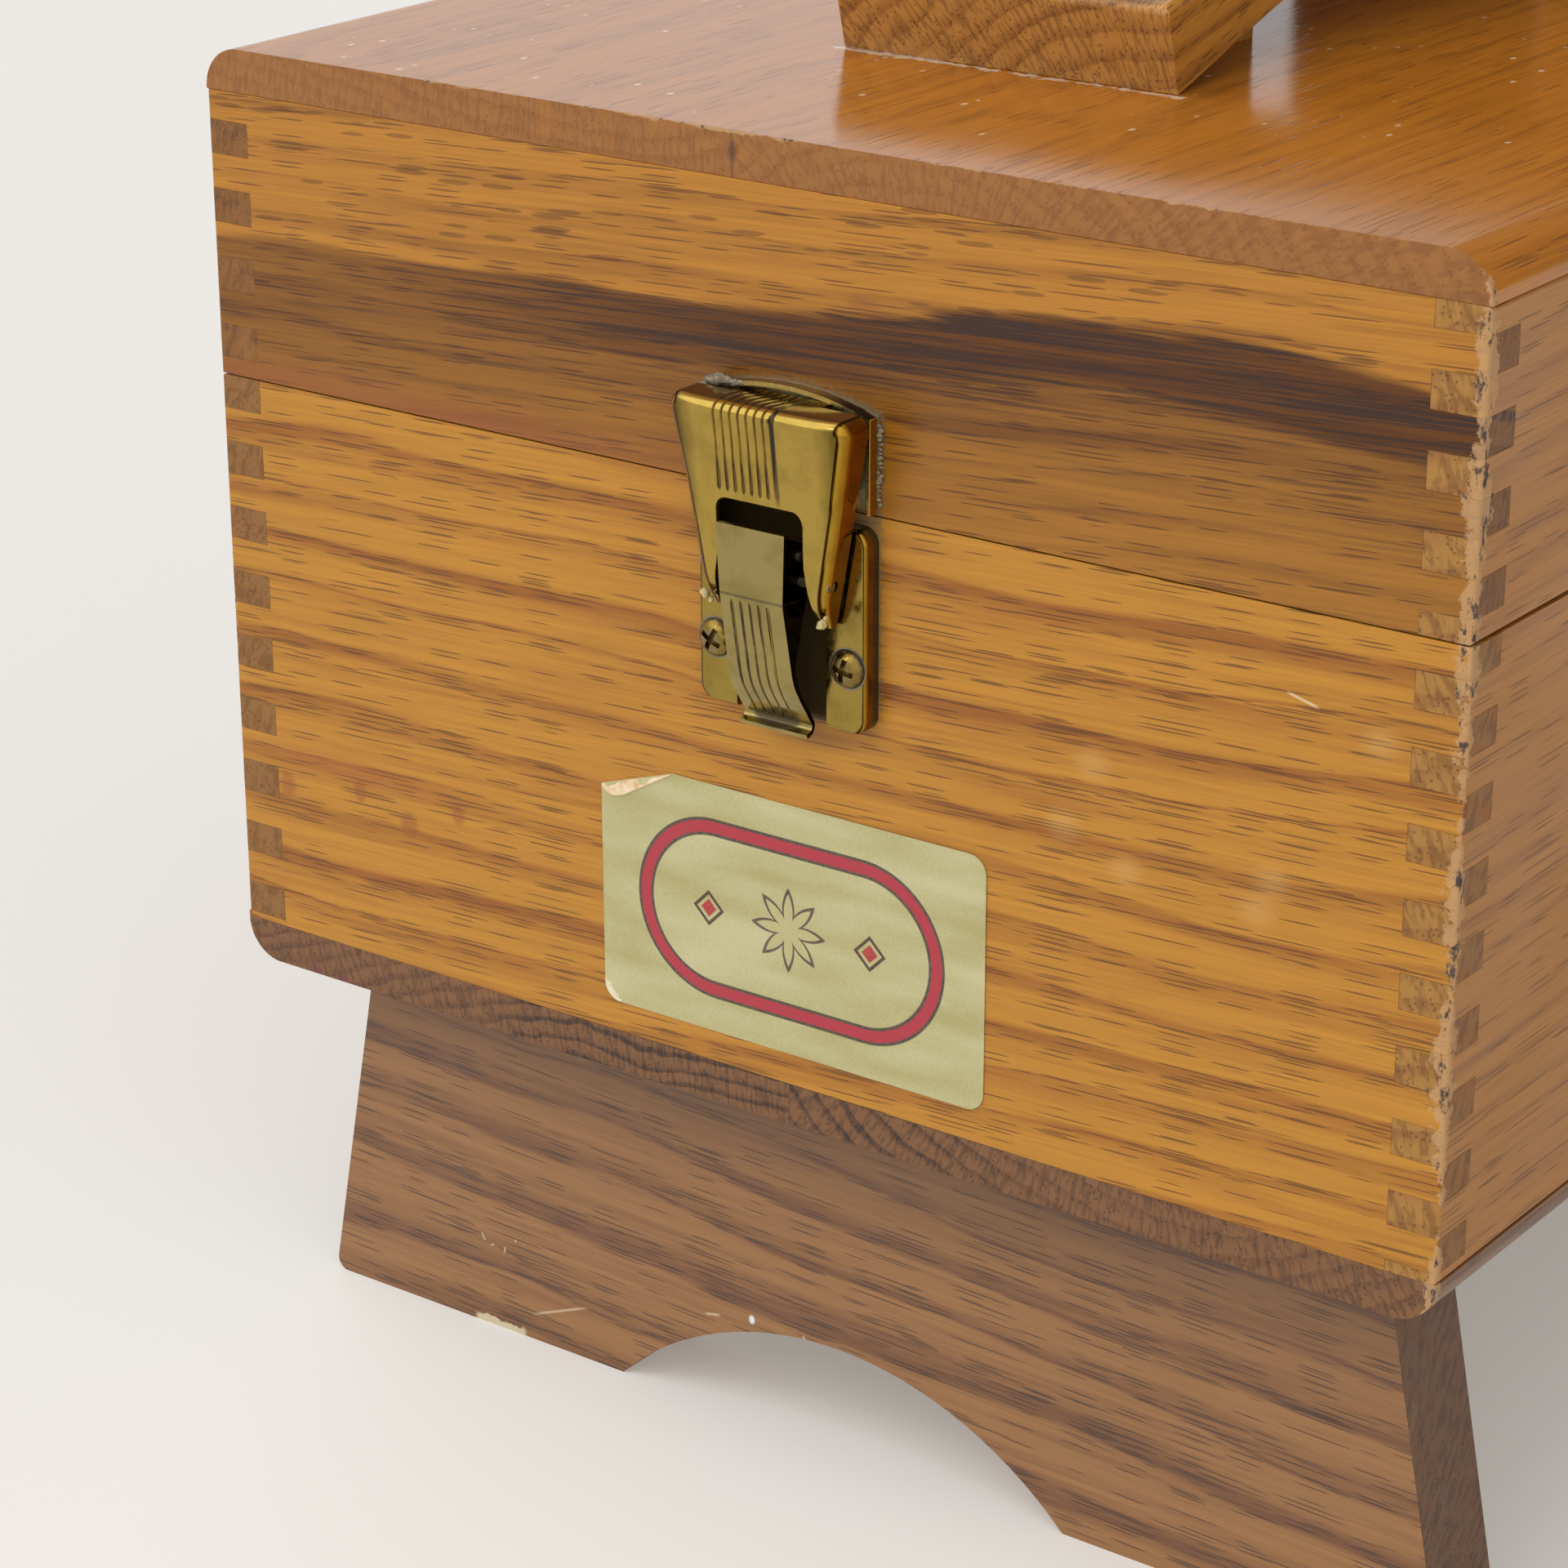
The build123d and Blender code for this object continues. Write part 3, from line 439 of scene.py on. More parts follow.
def oak_at(node, coordinates, turn, pith, **look):
    """The oak pattern, with the trunk's middle line through the point pith, in millimetres."""
    matrix = turn.to_matrix()
    shift = -(matrix @ Vector(pith))
    place = node("Mapping", coordinates["Object"], shift, turn, (to_mm,) * 3)
    grain = matrix.transposed() @ Vector((1.0, 0.0, 0.0))
    facing = node("VectorMath", coordinates["Normal"], grain, operation="DOT_PRODUCT").outputs["Value"]
    end = node("MapRange", node("Math", facing, operation="ABSOLUTE"), 0.6, 0.8)
    oak = node("Group", node_tree=oak_pattern, Place=place, End=end)
    for key, value in look.items():
        fill(oak.inputs[key], linear(value) if isinstance(value, str) else value)
    return oak


def finish_wood(material, node, coordinates, colour, height, sawn, gloss, marks=(), specular=0.5):
    """Bare inside, worn corners, marks, then the varnish: colour, bump and roughness on the shader.
    A mark is a mask with the colour it leaves."""
    worn = node("Group", node_tree=wear_pattern, Point=coordinates["Object"])
    bare = node("Mix", 0.5, colour, linear("#B8925F"), data_type="RGBA")
    colour = node("Mix", worn.outputs["Bare"], colour, bare, data_type="RGBA")
    for mask, stain in marks:
        colour = node("Mix", mask, colour, linear(stain), data_type="RGBA")
    # Worn corners go pale, and so does the top's front edge, where the pale line is partly a painted
    # highlight.
    rubbed_and_highlit = node("Math", worn.outputs["Rubbed"], 0.75, operation="MULTIPLY")
    colour = node("Mix", rubbed_and_highlit, colour, linear("#BC9468"), data_type="RGBA")
    colour = node("Mix", worn.outputs["Specks"], colour, linear("#4A3C36"), data_type="RGBA")
    dull = node("Math", worn.outputs["Bare"], worn.outputs["Rubbed"], operation="MAXIMUM")
    dull = node("Math", dull, node("Math", sawn, 0.6, operation="MULTIPLY"), operation="MAXIMUM")
    uneven = node("TexNoise", coordinates["Object"], Scale=30.0, Detail=3.0).outputs[0]
    varnish = node("MapRange", uneven, 0.3, 0.7, gloss * 0.8, gloss * 1.2)
    roughness = node("Mix", dull, varnish, 0.7)
    bump = node("Bump", 0.3, 0.0002, Height=height)
    dress(material, Base_Color=colour, Roughness=roughness, Normal=bump)
    return dress(material, IOR=1.5, Specular_IOR_Level=specular)


def varnished_oak(name, turn, pith, gloss=0.3, specular=0.5, **look):
    """A board with no marks of its own."""
    material, node, coordinates = start_material(name)
    oak = oak_at(node, coordinates, turn, pith, **look)
    return finish_wood(material, node, coordinates, *oak.outputs[:3], gloss, specular=specular)


print("board material ready")

# %% [markdown]
# ## Easing the boards' edges
# No real board has knife edges, and the tiny rounds are what makes a finger joint readable: each one
# leaves a hair-fine groove between two boards. The solid model leaves them out, so every board is
# copied, its triangles are melted back into whole faces, and its outer edges are bevelled: a fifth of
# a millimetre along joints, and nearly a millimetre down the box's corners, where hands wear it most.


# %% A copy of a solid with eased edges
def copy_of(node_name, piece_name):
    """The node's mesh as a bmesh: points merged, and the triangles of flat faces joined."""
    mesh = nodes[node_name].data.copy()
    mesh.name = piece_name
    for attribute in list(mesh.attributes):
        if attribute.name == "custom_normal":
            mesh.attributes.remove(attribute)
    mesh.materials.clear()
    shape = bmesh.new()
    shape.from_mesh(mesh)
    bmesh.ops.remove_doubles(shape, verts=shape.verts, dist=1e-6)
    bmesh.ops.dissolve_limit(shape, angle_limit=math.radians(0.8), verts=shape.verts, edges=shape.edges)
    return mesh, shape


def bevel(shape, edges, width, segments=2):
    """Rounds some edges."""
    bmesh.ops.bevel(
        shape,
        geom=edges,
        offset=width,
        segments=segments,
        profile=0.5,
        affect="EDGES",
        material=-1,
        clamp_overlap=True,
    )


def outward_edges(shape, shortest=0.0013, angle=40):
    """Edges where two faces meet at an outward corner. Short ones belong to screw holes and stay sharp."""
    return [
        e
        for e in shape.edges
        if len(e.link_faces) == 2
        and e.calc_length() > shortest
        and e.calc_face_angle_signed(0.0) > math.radians(angle)
    ]


def finish_piece(mesh, shape, node_name, material, rides, sharp=35):
    """Writes the bmesh to its mesh, and puts the piece in the place of the node."""
    shape.to_mesh(mesh)
    shape.free()
    for polygon in mesh.polygons:
        polygon.use_smooth = True
    mesh.set_sharp_from_angle(angle=math.radians(sharp))
    for one in material if isinstance(material, (list, tuple)) else (material,):
        mesh.materials.append(one)
    piece = bpy.data.objects.new(mesh.name, mesh)
    bpy.context.scene.collection.objects.link(piece)
    even = piece.modifiers.new("even_normals", "WEIGHTED_NORMAL")
    even.keep_sharp = True
    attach(piece, rides)
    if node_name:
        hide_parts(node_name)
    return piece


def eased_board(node_name, material, rides, corner=0.0008, joint=0.0002):
    """A board with its box corners rounded more than its joints."""
    mesh, shape = copy_of(node_name, f"eased_{node_name}")

    def at_corner(edge):
        return all(
            abs(abs(v.co.x) - side_face) < 1e-5 and abs(abs(v.co.y - middle_y) - half_depth) < 1e-5
            for v in edge.verts
        )

    if corner:
        bevel(shape, [e for e in outward_edges(shape) if at_corner(e)], corner, 3)
    bevel(shape, outward_edges(shape), joint)
    return finish_piece(mesh, shape, node_name, material, rides)


# %% [markdown]
# ## The lid's front board
# This board is the box's face: golden oak with a dark streak of heartwood that rises from left to
# right. The streak's upper edge is sharp and its lower edge fades to grey brown. Its middle line was
# read off the photograph and is a shallow arc, so a second-degree curve draws it. The vessels in the
# upper half are wide lenses. A small knot sits above the latch.

# %% Lid front material
grime_colour, catch_arch, front_specular = "#75644F", 2.6, 0.35


def in_mm(node, coordinates):
    """A point in millimetres, and its x, y and z."""
    point = node("VectorMath", coordinates["Object"], (to_mm,) * 3, operation="MULTIPLY")
    return point, node("SeparateXYZ", point).outputs


def height_over_arc(node, coordinates, level, rise, bend):
    """How far a point lies above level + rise x + bend x^2, with a hump and waves, all in mm."""
    hump_x, hump_half, hump_flat, hump_high = 70.0, 62.0, 12.0, 4.0
    wave_high = 9.0
    point, parts = in_mm(node, coordinates)
    slope = node("Math", parts["X"], bend, rise, operation="MULTIPLY_ADD")
    arc = node("Math", parts["X"], slope, level, operation="MULTIPLY_ADD")
    wave_place = node("VectorMath", point, (0.02, 0.1, 0.25), operation="MULTIPLY")
    wave = node("TexNoise", wave_place, Scale=1.0, Detail=3.0)
    wave = node("Math", wave, wave_high, -wave_high / 2, operation="MULTIPLY_ADD")
    above = node("Math", parts["Z"], arc, operation="SUBTRACT")
    from_hump = node("Math", node("Math", parts["X"], -hump_x, operation="ADD"), operation="ABSOLUTE")
    hump = node("MapRange", from_hump, hump_half, hump_flat, 0.0, hump_high, interpolation_type="SMOOTHSTEP")
    above = node("Math", above, hump, operation="SUBTRACT")
    return node("Math", above, wave, operation="ADD"), parts


def spot(node, parts, x, z, wide, high, strength=1.0, soft=0.5):
    """A soft-edged oval mark on a front face, in mm."""
    dx = node("Math", node("Math", parts["X"], x, operation="SUBTRACT"), 1 / wide, operation="MULTIPLY")
    dz = node("Math", node("Math", parts["Z"], z, operation="SUBTRACT"), 1 / high, operation="MULTIPLY")
    away = node("VectorMath", node("CombineXYZ", dx, dz), operation="LENGTH").outputs["Value"]
    return node("MapRange", away, 1.0, 1.0 - soft, 0.0, strength, interpolation_type="SMOOTHSTEP")


def scratch(node, parts, x, z, rise_degrees, half_length, half_width, strength=0.6):
    """A thin straight scratch on a front face, in mm, rising by some degrees."""
    rise = math.radians(rise_degrees)
    dx = node("Math", parts["X"], x, operation="SUBTRACT")
    dz = node("Math", parts["Z"], z, operation="SUBTRACT")
    offset = node("CombineXYZ", dx, dz)
    along, across = (math.cos(rise), math.sin(rise), 0.0), (-math.sin(rise), math.cos(rise), 0.0)
    reach = []
    for direction, half in ((along, half_length), (across, half_width)):
        off = node("VectorMath", offset, direction, operation="DOT_PRODUCT").outputs["Value"]
        reach.append(node("Math", node("Math", off, operation="ABSOLUTE"), half, operation="DIVIDE"))
    away = node("Math", *reach, operation="MAXIMUM")
    return node("MapRange", away, 1.0, 0.6, 0.0, strength)


def on_front(node, coordinates, marks):
    """The same marks, but only on faces that look to the front, so that none shows inside the box."""
    outward = node("MapRange", node("SeparateXYZ", coordinates["Normal"]).outputs["Y"], -0.4, -0.7)
    return [(node("Math", mask, outward, operation="MULTIPLY"), stain) for mask, stain in marks]


def streaked_lid_front():
    """Golden oak with a heartwood streak."""
    material, node, coordinates = start_material("varnished_oak_lid_front")
    above, parts = height_over_arc(node, coordinates, 220.4, 0.047, -0.000126)
    upper = node("MapRange", above, 6.0, 3.4, interpolation_type="SMOOTHSTEP")
    lower = node("MapRange", above, -4.0, -13.0, 1.0, 0.0, interpolation_type="SMOOTHSTEP")
    core = node("Math", upper, lower, operation="MULTIPLY")
    below = node("MapRange", above, 5.0, -2.0, interpolation_type="SMOOTHSTEP")
    fade = node("MapRange", above, -7.0, -27.0, 0.62, 0.3, interpolation_type="SMOOTHSTEP")
    broad = node("Math", below, fade, operation="MULTIPLY")
    thinner = node("MapRange", parts["X"], -130.0, -10.0, 0.5, 1.0)
    core = node("Math", core, thinner, operation="MULTIPLY")
    heart = node("Math", core, broad, operation="MAXIMUM")
    upper_half = node("MapRange", parts["Z"], 219.0, 228.0, 0.0, 0.9)
    oak = oak_at(
        node,
        coordinates,
        turned(2.7),
        (-60.0, -90.0, 420.0),
        Heart=heart,
        Ring=6.0,
        Lenses=upper_half,
        Threads=0.8,
        Bands=0.75,
        Arc=150.0,
        Pale="#B07627",
        Warm="#8A561D",
        Vessel="#5E3616",
        Dark="#382218",
        Cut="#7A5028",
    )
    warmth = node("MapRange", parts["Z"], 200.0, 192.0, 0.0, 0.55, interpolation_type="SMOOTHSTEP")
    left = node("MapRange", parts["X"], 10.0, -60.0)
    reddish = node("Math", warmth, left, operation="MULTIPLY")
    knot = spot(node, parts, 15.7, 227.8, 5.0, 2.2, 0.55, 0.9)
    marks = [(reddish, "#8A4A2A"), (knot, "#8A5228"), (latch_grime(node, parts), grime_colour)]
    marks = on_front(node, coordinates, marks)
    return finish_wood(material, node, coordinates, *oak.outputs[:3], 0.26, marks, front_specular)


def latch_grime(node, parts):
    """Wax and dust beyond the cloth's reach: a thin uneven halo round the latch, arched as the catch is."""
    box_low, box_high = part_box("latch_base_plate")[0] * to_mm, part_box("latch_catch")[1] * to_mm
    middle = ((box_low.x + box_high.x) / 2, (box_low.z + box_high.z) / 2)
    half = ((box_high.x - box_low.x) / 2, (box_high.z - box_low.z) / 2)
    dx = node("Math", node("Math", parts["X"], middle[0], operation="SUBTRACT"), operation="ABSOLUTE")
    dz = node("Math", node("Math", parts["Z"], middle[1], operation="SUBTRACT"), operation="ABSOLUTE")
    out_x = node("Math", dx, half[0], operation="SUBTRACT")
    aside = node("Math", node("Math", dx, 1 / half[0], operation="MULTIPLY"), 2.0, operation="POWER")
    arched = node("Math", aside, catch_arch, -half[1], operation="MULTIPLY_ADD")
    out_z = node("Math", arched, dz, operation="ADD")
    away = node("Math", out_x, out_z, operation="MAXIMUM")
    ragged = node("TexNoise", node("CombineXYZ", parts["X"], parts["Z"]), Scale=1.2, Detail=3.0)
    reach = node("MapRange", ragged, 0.35, 0.7, 0.1, 1.8)
    return node("MapRange", node("Math", away, reach, operation="SUBTRACT"), 0.0, -0.8, 0.0, 0.6)


# %% [markdown]
# ## The body's front board
# The front of the body is plainer: hair-thin dark threads in soft bands about 10 mm apart, which rise
# slightly to the right. Four reddish drips dried on its lower left, and the varnish has turned pale
# in some places on the right.

# %% Body front material
# Drips: x, z, half width, half height. Pale places: x, z.
drips = (
    (-118.0, 112.7, 2.6, 3.4),
    (-99.6, 115.4, 2.0, 3.0),
    (-87.6, 111.6, 2.8, 3.4),
    (-75.4, 116.1, 2.2, 2.6),
)
pale_places = ((62.4, 157.3), (69.1, 140.3), (96.6, 145.0), (115.1, 172.6), (94.1, 139.3), (56.8, 145.6))


def spotted_body_front():
    """Golden oak with dried drips and the stain round them, a dark smudge, pale places and a scratch."""
    material, node, coordinates = start_material("varnished_oak_body_front")
    oak = oak_at(
        node,
        coordinates,
        turned(2.2),
        (310.0, -80.0, 330.0),
        Ring=9.0,
        Lenses=0.0,
        Threads=1.0,
        Bands=1.05,
        Pale="#B67E2A",
        Warm="#93591E",
        Vessel="#5C3414",
        Cut="#8A6032",
    )
    parts = in_mm(node, coordinates)[1]
    marks = [(spot(node, parts, *drip, 0.5, 0.6), "#8C4A26") for drip in drips]
    marks.append((spot(node, parts, -104.0, 119.0, 34.0, 4.0, 0.3, 0.9), "#A0552E"))
    marks.append((spot(node, parts, 6.0, 150.0, 16.0, 3.0, 0.45, 0.9), "#6A4426"))
    for x, z in pale_places:
        marks.append((spot(node, parts, x, z, 5.0, 4.4, 0.2, 0.95), "#E0B878"))
    marks.append((scratch(node, parts, 101.0, 177.0, -14.0, 3.2, 0.3), "#E8D2A8"))
    marks.append((latch_grime(node, parts), grime_colour))
    marks = on_front(node, coordinates, marks)
    return finish_wood(material, node, coordinates, *oak.outputs[:3], 0.3, marks, front_specular)


# %% [markdown]
# ## Boards glued from two strips
# The top and bottom boards are each glued from two strips, and their sawn ends show on the front: the
# rings arch one way in the left strip and the other way in the right one. So each strip gets its own
# place in a trunk, and a threshold at the glue line picks between them.


# %% Two-strip material
def two_strip_oak(name, joint, left, right, gloss, marks, old=None):
    """A board of two strips that meet at x = joint, in mm. Its rings are dark where old's values of x say:
    where that starts, is full, fades and ends."""
    material, node, coordinates = start_material(name)
    parts = in_mm(node, coordinates)[1]
    heart = {}
    if old:
        starts, full, fades, ends = old
        rises = node("MapRange", parts["X"], starts, full, interpolation_type="SMOOTHSTEP")
        falls = node("MapRange", parts["X"], ends, fades, interpolation_type="SMOOTHSTEP")
        heart["Heart"] = node("Math", rises, falls, operation="MULTIPLY")
    strips = [oak_at(node, coordinates, turned(along="Y"), **heart, **strip) for strip in (left, right)]
    which = node("Math", parts["X"], joint, operation="GREATER_THAN")
    colour = node("Mix", which, strips[0].outputs["Colour"], strips[1].outputs["Colour"], data_type="RGBA")
    height = node("Mix", which, strips[0].outputs["Height"], strips[1].outputs["Height"])
    away = node("Math", node("Math", parts["X"], joint, operation="SUBTRACT"), operation="ABSOLUTE")
    glue = node("MapRange", away, 0.3, 0.1, 0.0, 0.5)
    found = [(glue, "#5A3A26")] + marks(node, coordinates, parts)
    return finish_wood(material, node, coordinates, colour, height, strips[0].outputs["Sawn"], gloss, found)


def lid_top_marks(node, coordinates, parts):
    """Dust specks, a dark stain at the glue line, and a pale line of old wax at the foot rest's heel."""
    heel_y, heel_half = -91.0, 37.0
    dust_place = node("VectorMath", coordinates["Object"], (1.0, 0.55, 1.0), operation="MULTIPLY")
    dust_cell = node("TexVoronoi", dust_place, Scale=330.0)
    chance = node("SeparateColor", dust_cell.outputs["Color"])
    patch = node("TexNoise", coordinates["Object"], Scale=14.0)
    often = node("MapRange", patch, 0.4, 0.65, 0.02, 0.3)
    seen = node("Math", chance, often, operation="LESS_THAN")
    grain = node("MapRange", dust_cell.outputs["Distance"], 0.2, 0.1)
    upward = node("SeparateXYZ", coordinates["Normal"]).outputs["Z"]
    on_top = node("MapRange", upward, 0.9, 0.97)
    dust = node("Math", node("Math", seen, grain, operation="MULTIPLY"), on_top, operation="MULTIPLY")
    heel = node("Math", node("Math", parts["Y"], heel_y, operation="SUBTRACT"), operation="ABSOLUTE")
    ragged = node("TexNoise", coordinates["Object"], Scale=300.0, Detail=4.0, Roughness=0.7)
    wide = node("MapRange", ragged, 0.4, 0.7, 0.0, 2.6)
    wax = node("MapRange", node("Math", wide, heel, operation="SUBTRACT"), 0.0, 0.6)
    across = node("Math", parts["X"], operation="ABSOLUTE")
    beside_heel = node("Math", across, heel_half, operation="LESS_THAN")
    wax = node("Math", node("Math", wax, beside_heel, operation="MULTIPLY"), on_top, operation="MULTIPLY")
    stain = spot(node, parts, -10.7, 249.5, 1.6, 3.0, 0.6, 0.8)
    at_front = node("MapRange", upward, 0.6, 0.3)
    stain = node("Math", stain, at_front, operation="MULTIPLY")
    return [
        (node("Math", dust, 0.8, operation="MULTIPLY"), "#E6D2B4"),
        (node("Math", wax, 0.8, operation="MULTIPLY"), "#D8CCBA"),
        (stain, "#3A2620"),
    ]


def bottom_marks(node, coordinates, parts):
    """Two purple specks of polish near the left end."""
    places = ((-113.0, 75.4), (-106.0, 75.2))
    marks = [(spot(node, parts, x, z, 2.2, 1.2, 0.7, 0.7), "#6A3040") for x, z in places]
    return on_front(node, coordinates, marks)


top_left = dict(pith=(-40.0, 60.0, 615.0), Ring=3.4, Arc=365.0, Bands=0.45, Lenses=0.1, Threads=0.35)
top_left.update(Pale="#B26E21", Warm="#90561A", Vessel="#78481A", Cut="#98622A")
top_right = dict(top_left, pith=(28.0, 360.0, 209.0), Ring=3.6, Arc=40.0)
bottom_left = dict(pith=(21.0, 700.0, -320.0), Ring=3.0, Arc=400.0, Bands=1.2, Lenses=0.4)
bottom_left.update(Pale="#825A36", Warm="#623C22", Vessel="#3A2416", Cut="#7A5230", Dark="#2E1C12")
bottom_right = dict(bottom_left, pith=(75.0, 900.0, 167.0), Ring=4.2, Arc=88.0)

# %% [markdown]
# ## All the boards
# The rest of the boards have no marks of their own. Side boards are a pinker, slightly darker brown.
# The feet are a darker oak than the box, with broad brown bands and black threads.

# %% Woods of the plain boards
golden = dict(Ring=7.0, Threads=1.0, Lenses=0.0, Pale="#B57B28", Warm="#8E5A1E", Vessel="#583214")
golden.update(Cut="#744622")
pinkish = dict(Ring=6.0, Threads=0.6, Lenses=0.0, Bands=0.6, Pale="#A87236", Warm="#8E5E32", Vessel="#65401E")
pinkish.update(gloss=0.42, specular=0.3)
brown = dict(Ring=8.0, Threads=1.0, Lenses=0.0, Bands=1.0, Pale="#94693F", Warm="#704A30", Vessel="#382620")
brown.update(Cut="#6E4E36", gloss=0.4)
along_x, along_y = turned(), turned(along="Y")
plain_woods = {
    "box_left_side": dict(pinkish, turn=along_y, pith=(-60.0, 0.0, 330.0), Cut="#8A6236"),
    "box_right_side": dict(pinkish, turn=along_y, pith=(60.0, 400.0, 320.0), Cut="#A4763A"),
    "box_back": dict(golden, turn=along_x, pith=(800.0, 240.0, 330.0)),
    "lid_left_side": dict(pinkish, turn=along_y, pith=(-60.0, 800.0, 400.0), Cut="#85592C", Heart=0.4),
    "lid_right_side": dict(pinkish, turn=along_y, pith=(60.0, 1200.0, 400.0), Cut="#A4763A"),
    "lid_back": dict(golden, turn=along_x, pith=(1200.0, 240.0, 380.0)),
    "foot_rest_wedge": dict(golden, turn=along_y, pith=(30.0, 200.0, 200.0)),
    "foot_rest_post": dict(golden, turn=along_y, pith=(10.0, 500.0, 210.0)),
    "rear_foot": dict(brown, turn=turned(-1.5), pith=(600.0, 250.0, -60.0)),
}


# %% Front foot material
# Each: x, z, degrees of rise, half length, half width.
foot_scratches = (
    (-67.8, 8.3, 22.5, 7.9, 0.3),
    (-86.9, 18.9, -60.0, 1.0, 0.25),
    (-84.6, 17.7, 20.0, 0.5, 0.25),
    (-81.5, 17.5, 80.0, 0.8, 0.25),
    (-78.6, 20.3, 0.0, 0.3, 0.3),
    (-30.0, 19.6, 12.0, 2.0, 0.35),
    (-8.4, 21.0, -70.0, 1.0, 0.3),
    (60.0, 66.0, -8.0, 1.6, 0.4),
)


def marked_front_foot():
    """Brown oak with painted shade under the box, a chipped lower edge, scratches and a small painted glint.
    """
    material, node, coordinates = start_material("varnished_oak_front_foot")
    parts = in_mm(node, coordinates)[1]
    wood = {key: value for key, value in brown.items() if key != "gloss"}
    oak = oak_at(node, coordinates, turned(-1.5), (600.0, -230.0, -70.0), **wood)
    # Painted shade: the foot darkens towards the box above it.
    painted_shade_under_box = node("MapRange", parts["Z"], 40.0, 76.0, 0.0, 0.5, interpolation_type="SMOOTHSTEP")
    ragged = node("TexNoise", coordinates["Object"], Scale=400.0, Detail=3.0)
    edge = node("Math", node("Math", ragged, 3.7, operation="MULTIPLY"), parts["Z"], operation="SUBTRACT")
    low = node("MapRange", edge, 0.0, 0.3)
    chip = node("Math", spot(node, parts, -83.0, 0.5, 7.0, 4.0, 1.0, 0.2), low, operation="MULTIPLY")
    marks = [(painted_shade_under_box, "#5A4238"), (chip, "#C9BA98")]
    for line in foot_scratches:
        marks.append((scratch(node, parts, *line), "#D0BC9C"))
    # A small bluish white painted glint on the arch.
    marks.append((spot(node, parts, -20.7, 21.4, 0.9, 1.2, 0.9, 0.6), "#E4E8EC"))
    marks = on_front(node, coordinates, marks)
    return finish_wood(material, node, coordinates, *oak.outputs[:3], 0.36, marks)


# %% Make every board
box_parts = {
    "box_front": spotted_body_front(),
    "box_bottom": two_strip_oak(
        "varnished_oak_bottom", 0.4, bottom_left, bottom_right, 0.34, bottom_marks, (-72.0, -58.0, 22.0, 62.0)
    ),
    "front_foot": marked_front_foot(),
}
lid_parts = {
    "lid_front": streaked_lid_front(),
    "lid_top": two_strip_oak("varnished_oak_lid_top", -10.7, top_left, top_right, 0.13, lid_top_marks),
}
for name, wood in plain_woods.items():
    group = lid_parts if name.startswith(("lid", "foot_rest")) else box_parts
    group[name] = varnished_oak(f"varnished_oak_{name}", **wood)
plank_slope = Euler((math.radians(-14.3), 0.0, 0.0)).to_matrix()
plank_turn = (along_y.to_matrix() @ plank_slope).to_euler()
lid_parts["foot_rest_plank"] = varnished_oak(
    "varnished_oak_foot_rest_plank",
    plank_turn,
    (54.0, -90.0, 152.0),
    gloss=0.22,
    Ring=4.5,
    Arc=120.0,
    Bands=1.1,
    Pale="#B87E30",
    Warm="#8E5A22",
    Vessel="#5F3A1C",
    Cut="#B8823E",
)
for rides, group in (("box", box_parts), ("lid", lid_parts)):
    for name, wood in group.items():
        walls = name.startswith(("box_", "lid_"))
        eased_board(name, wood, rides, corner=0.0008 if walls else 0)
print("boards", len(box_parts) + len(lid_parts))

# %% [markdown]
# ## Brass
# The latch is pressed from brass sheet, polished and lacquered. Decades of fingers and wax leave it
# olive gold: slightly cloudy, with brown dirt in every corner the cloth doesn't reach. Its rolled edges
# carry painted reflections, dark then gold, and a few of its hollows painted shade. Pits and smears are
# finer than a tenth of a millimetre, so they are drawn as roughness, not as shape.

# %% Brass material
latch_middle = (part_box("latch_base_plate")[0].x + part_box("latch_base_plate")[1].x) / 2
print("latch middle", round(latch_middle * to_mm, 2), "mm")


def brass_base(name, tint="#A08842", roughness=0.17):
    """Polished and lacquered sheet brass, a little cloudy. A metal keeps the default IOR."""
    material, node, coordinates = start_material(name)
    cloud = node("TexNoise", coordinates["Object"], Scale=160.0, Detail=5.0, Roughness=0.65)
    fine = node("TexNoise", coordinates["Object"], Scale=1400.0, Detail=2.0)
    tarnish = node("MapRange", cloud, 0.45, 0.75, 0.0, 0.45)
    colour = node("Mix", tarnish, linear(tint), linear("#6E5A2C"), data_type="RGBA")
    pitted = node("Math", cloud, fine, operation="MULTIPLY")
    rough = node("MapRange", pitted, 0.15, 0.4, roughness * 0.75, roughness * 1.6)
    bump = node("Bump", 0.12, 0.0001, Height=cloud)
    dress(material, Base_Color=colour, Metallic=1.0, Roughness=rough, Normal=bump)
    return material, node, coordinates, colour


# The tint of the brass's rolled sides: a painted reflection.
painted_side_reflection = "#D8B26A"


def painted_edge_reflection(node, coordinates, colour, side=painted_side_reflection):
    """Painted reflections on rolled edges, by how far the normal turns aside: dark, then gold, then the
    side's tint.
    """
    facing = node("SeparateXYZ", coordinates["Normal"]).outputs
    sideways = node("Math", facing["X"], operation="ABSOLUTE")
    ramp = node("ValToRGB", sideways)
    flat, dark, gold = "#FFFFFF", "#4A3820", "#FFF0B8"
    stops = ((0.0, flat), (0.1, flat), (0.24, dark), (0.36, dark), (0.5, gold), (0.85, side))
    elements = ramp.color_ramp.elements
    for number, (place, hex_colour) in enumerate(stops):
        stop = elements[number] if number < 2 else elements.new(place)
        stop.position, stop.color = place, linear(hex_colour)
    return node("Mix", 1.0, colour, ramp.outputs["Color"], data_type="RGBA", blend_type="MULTIPLY")


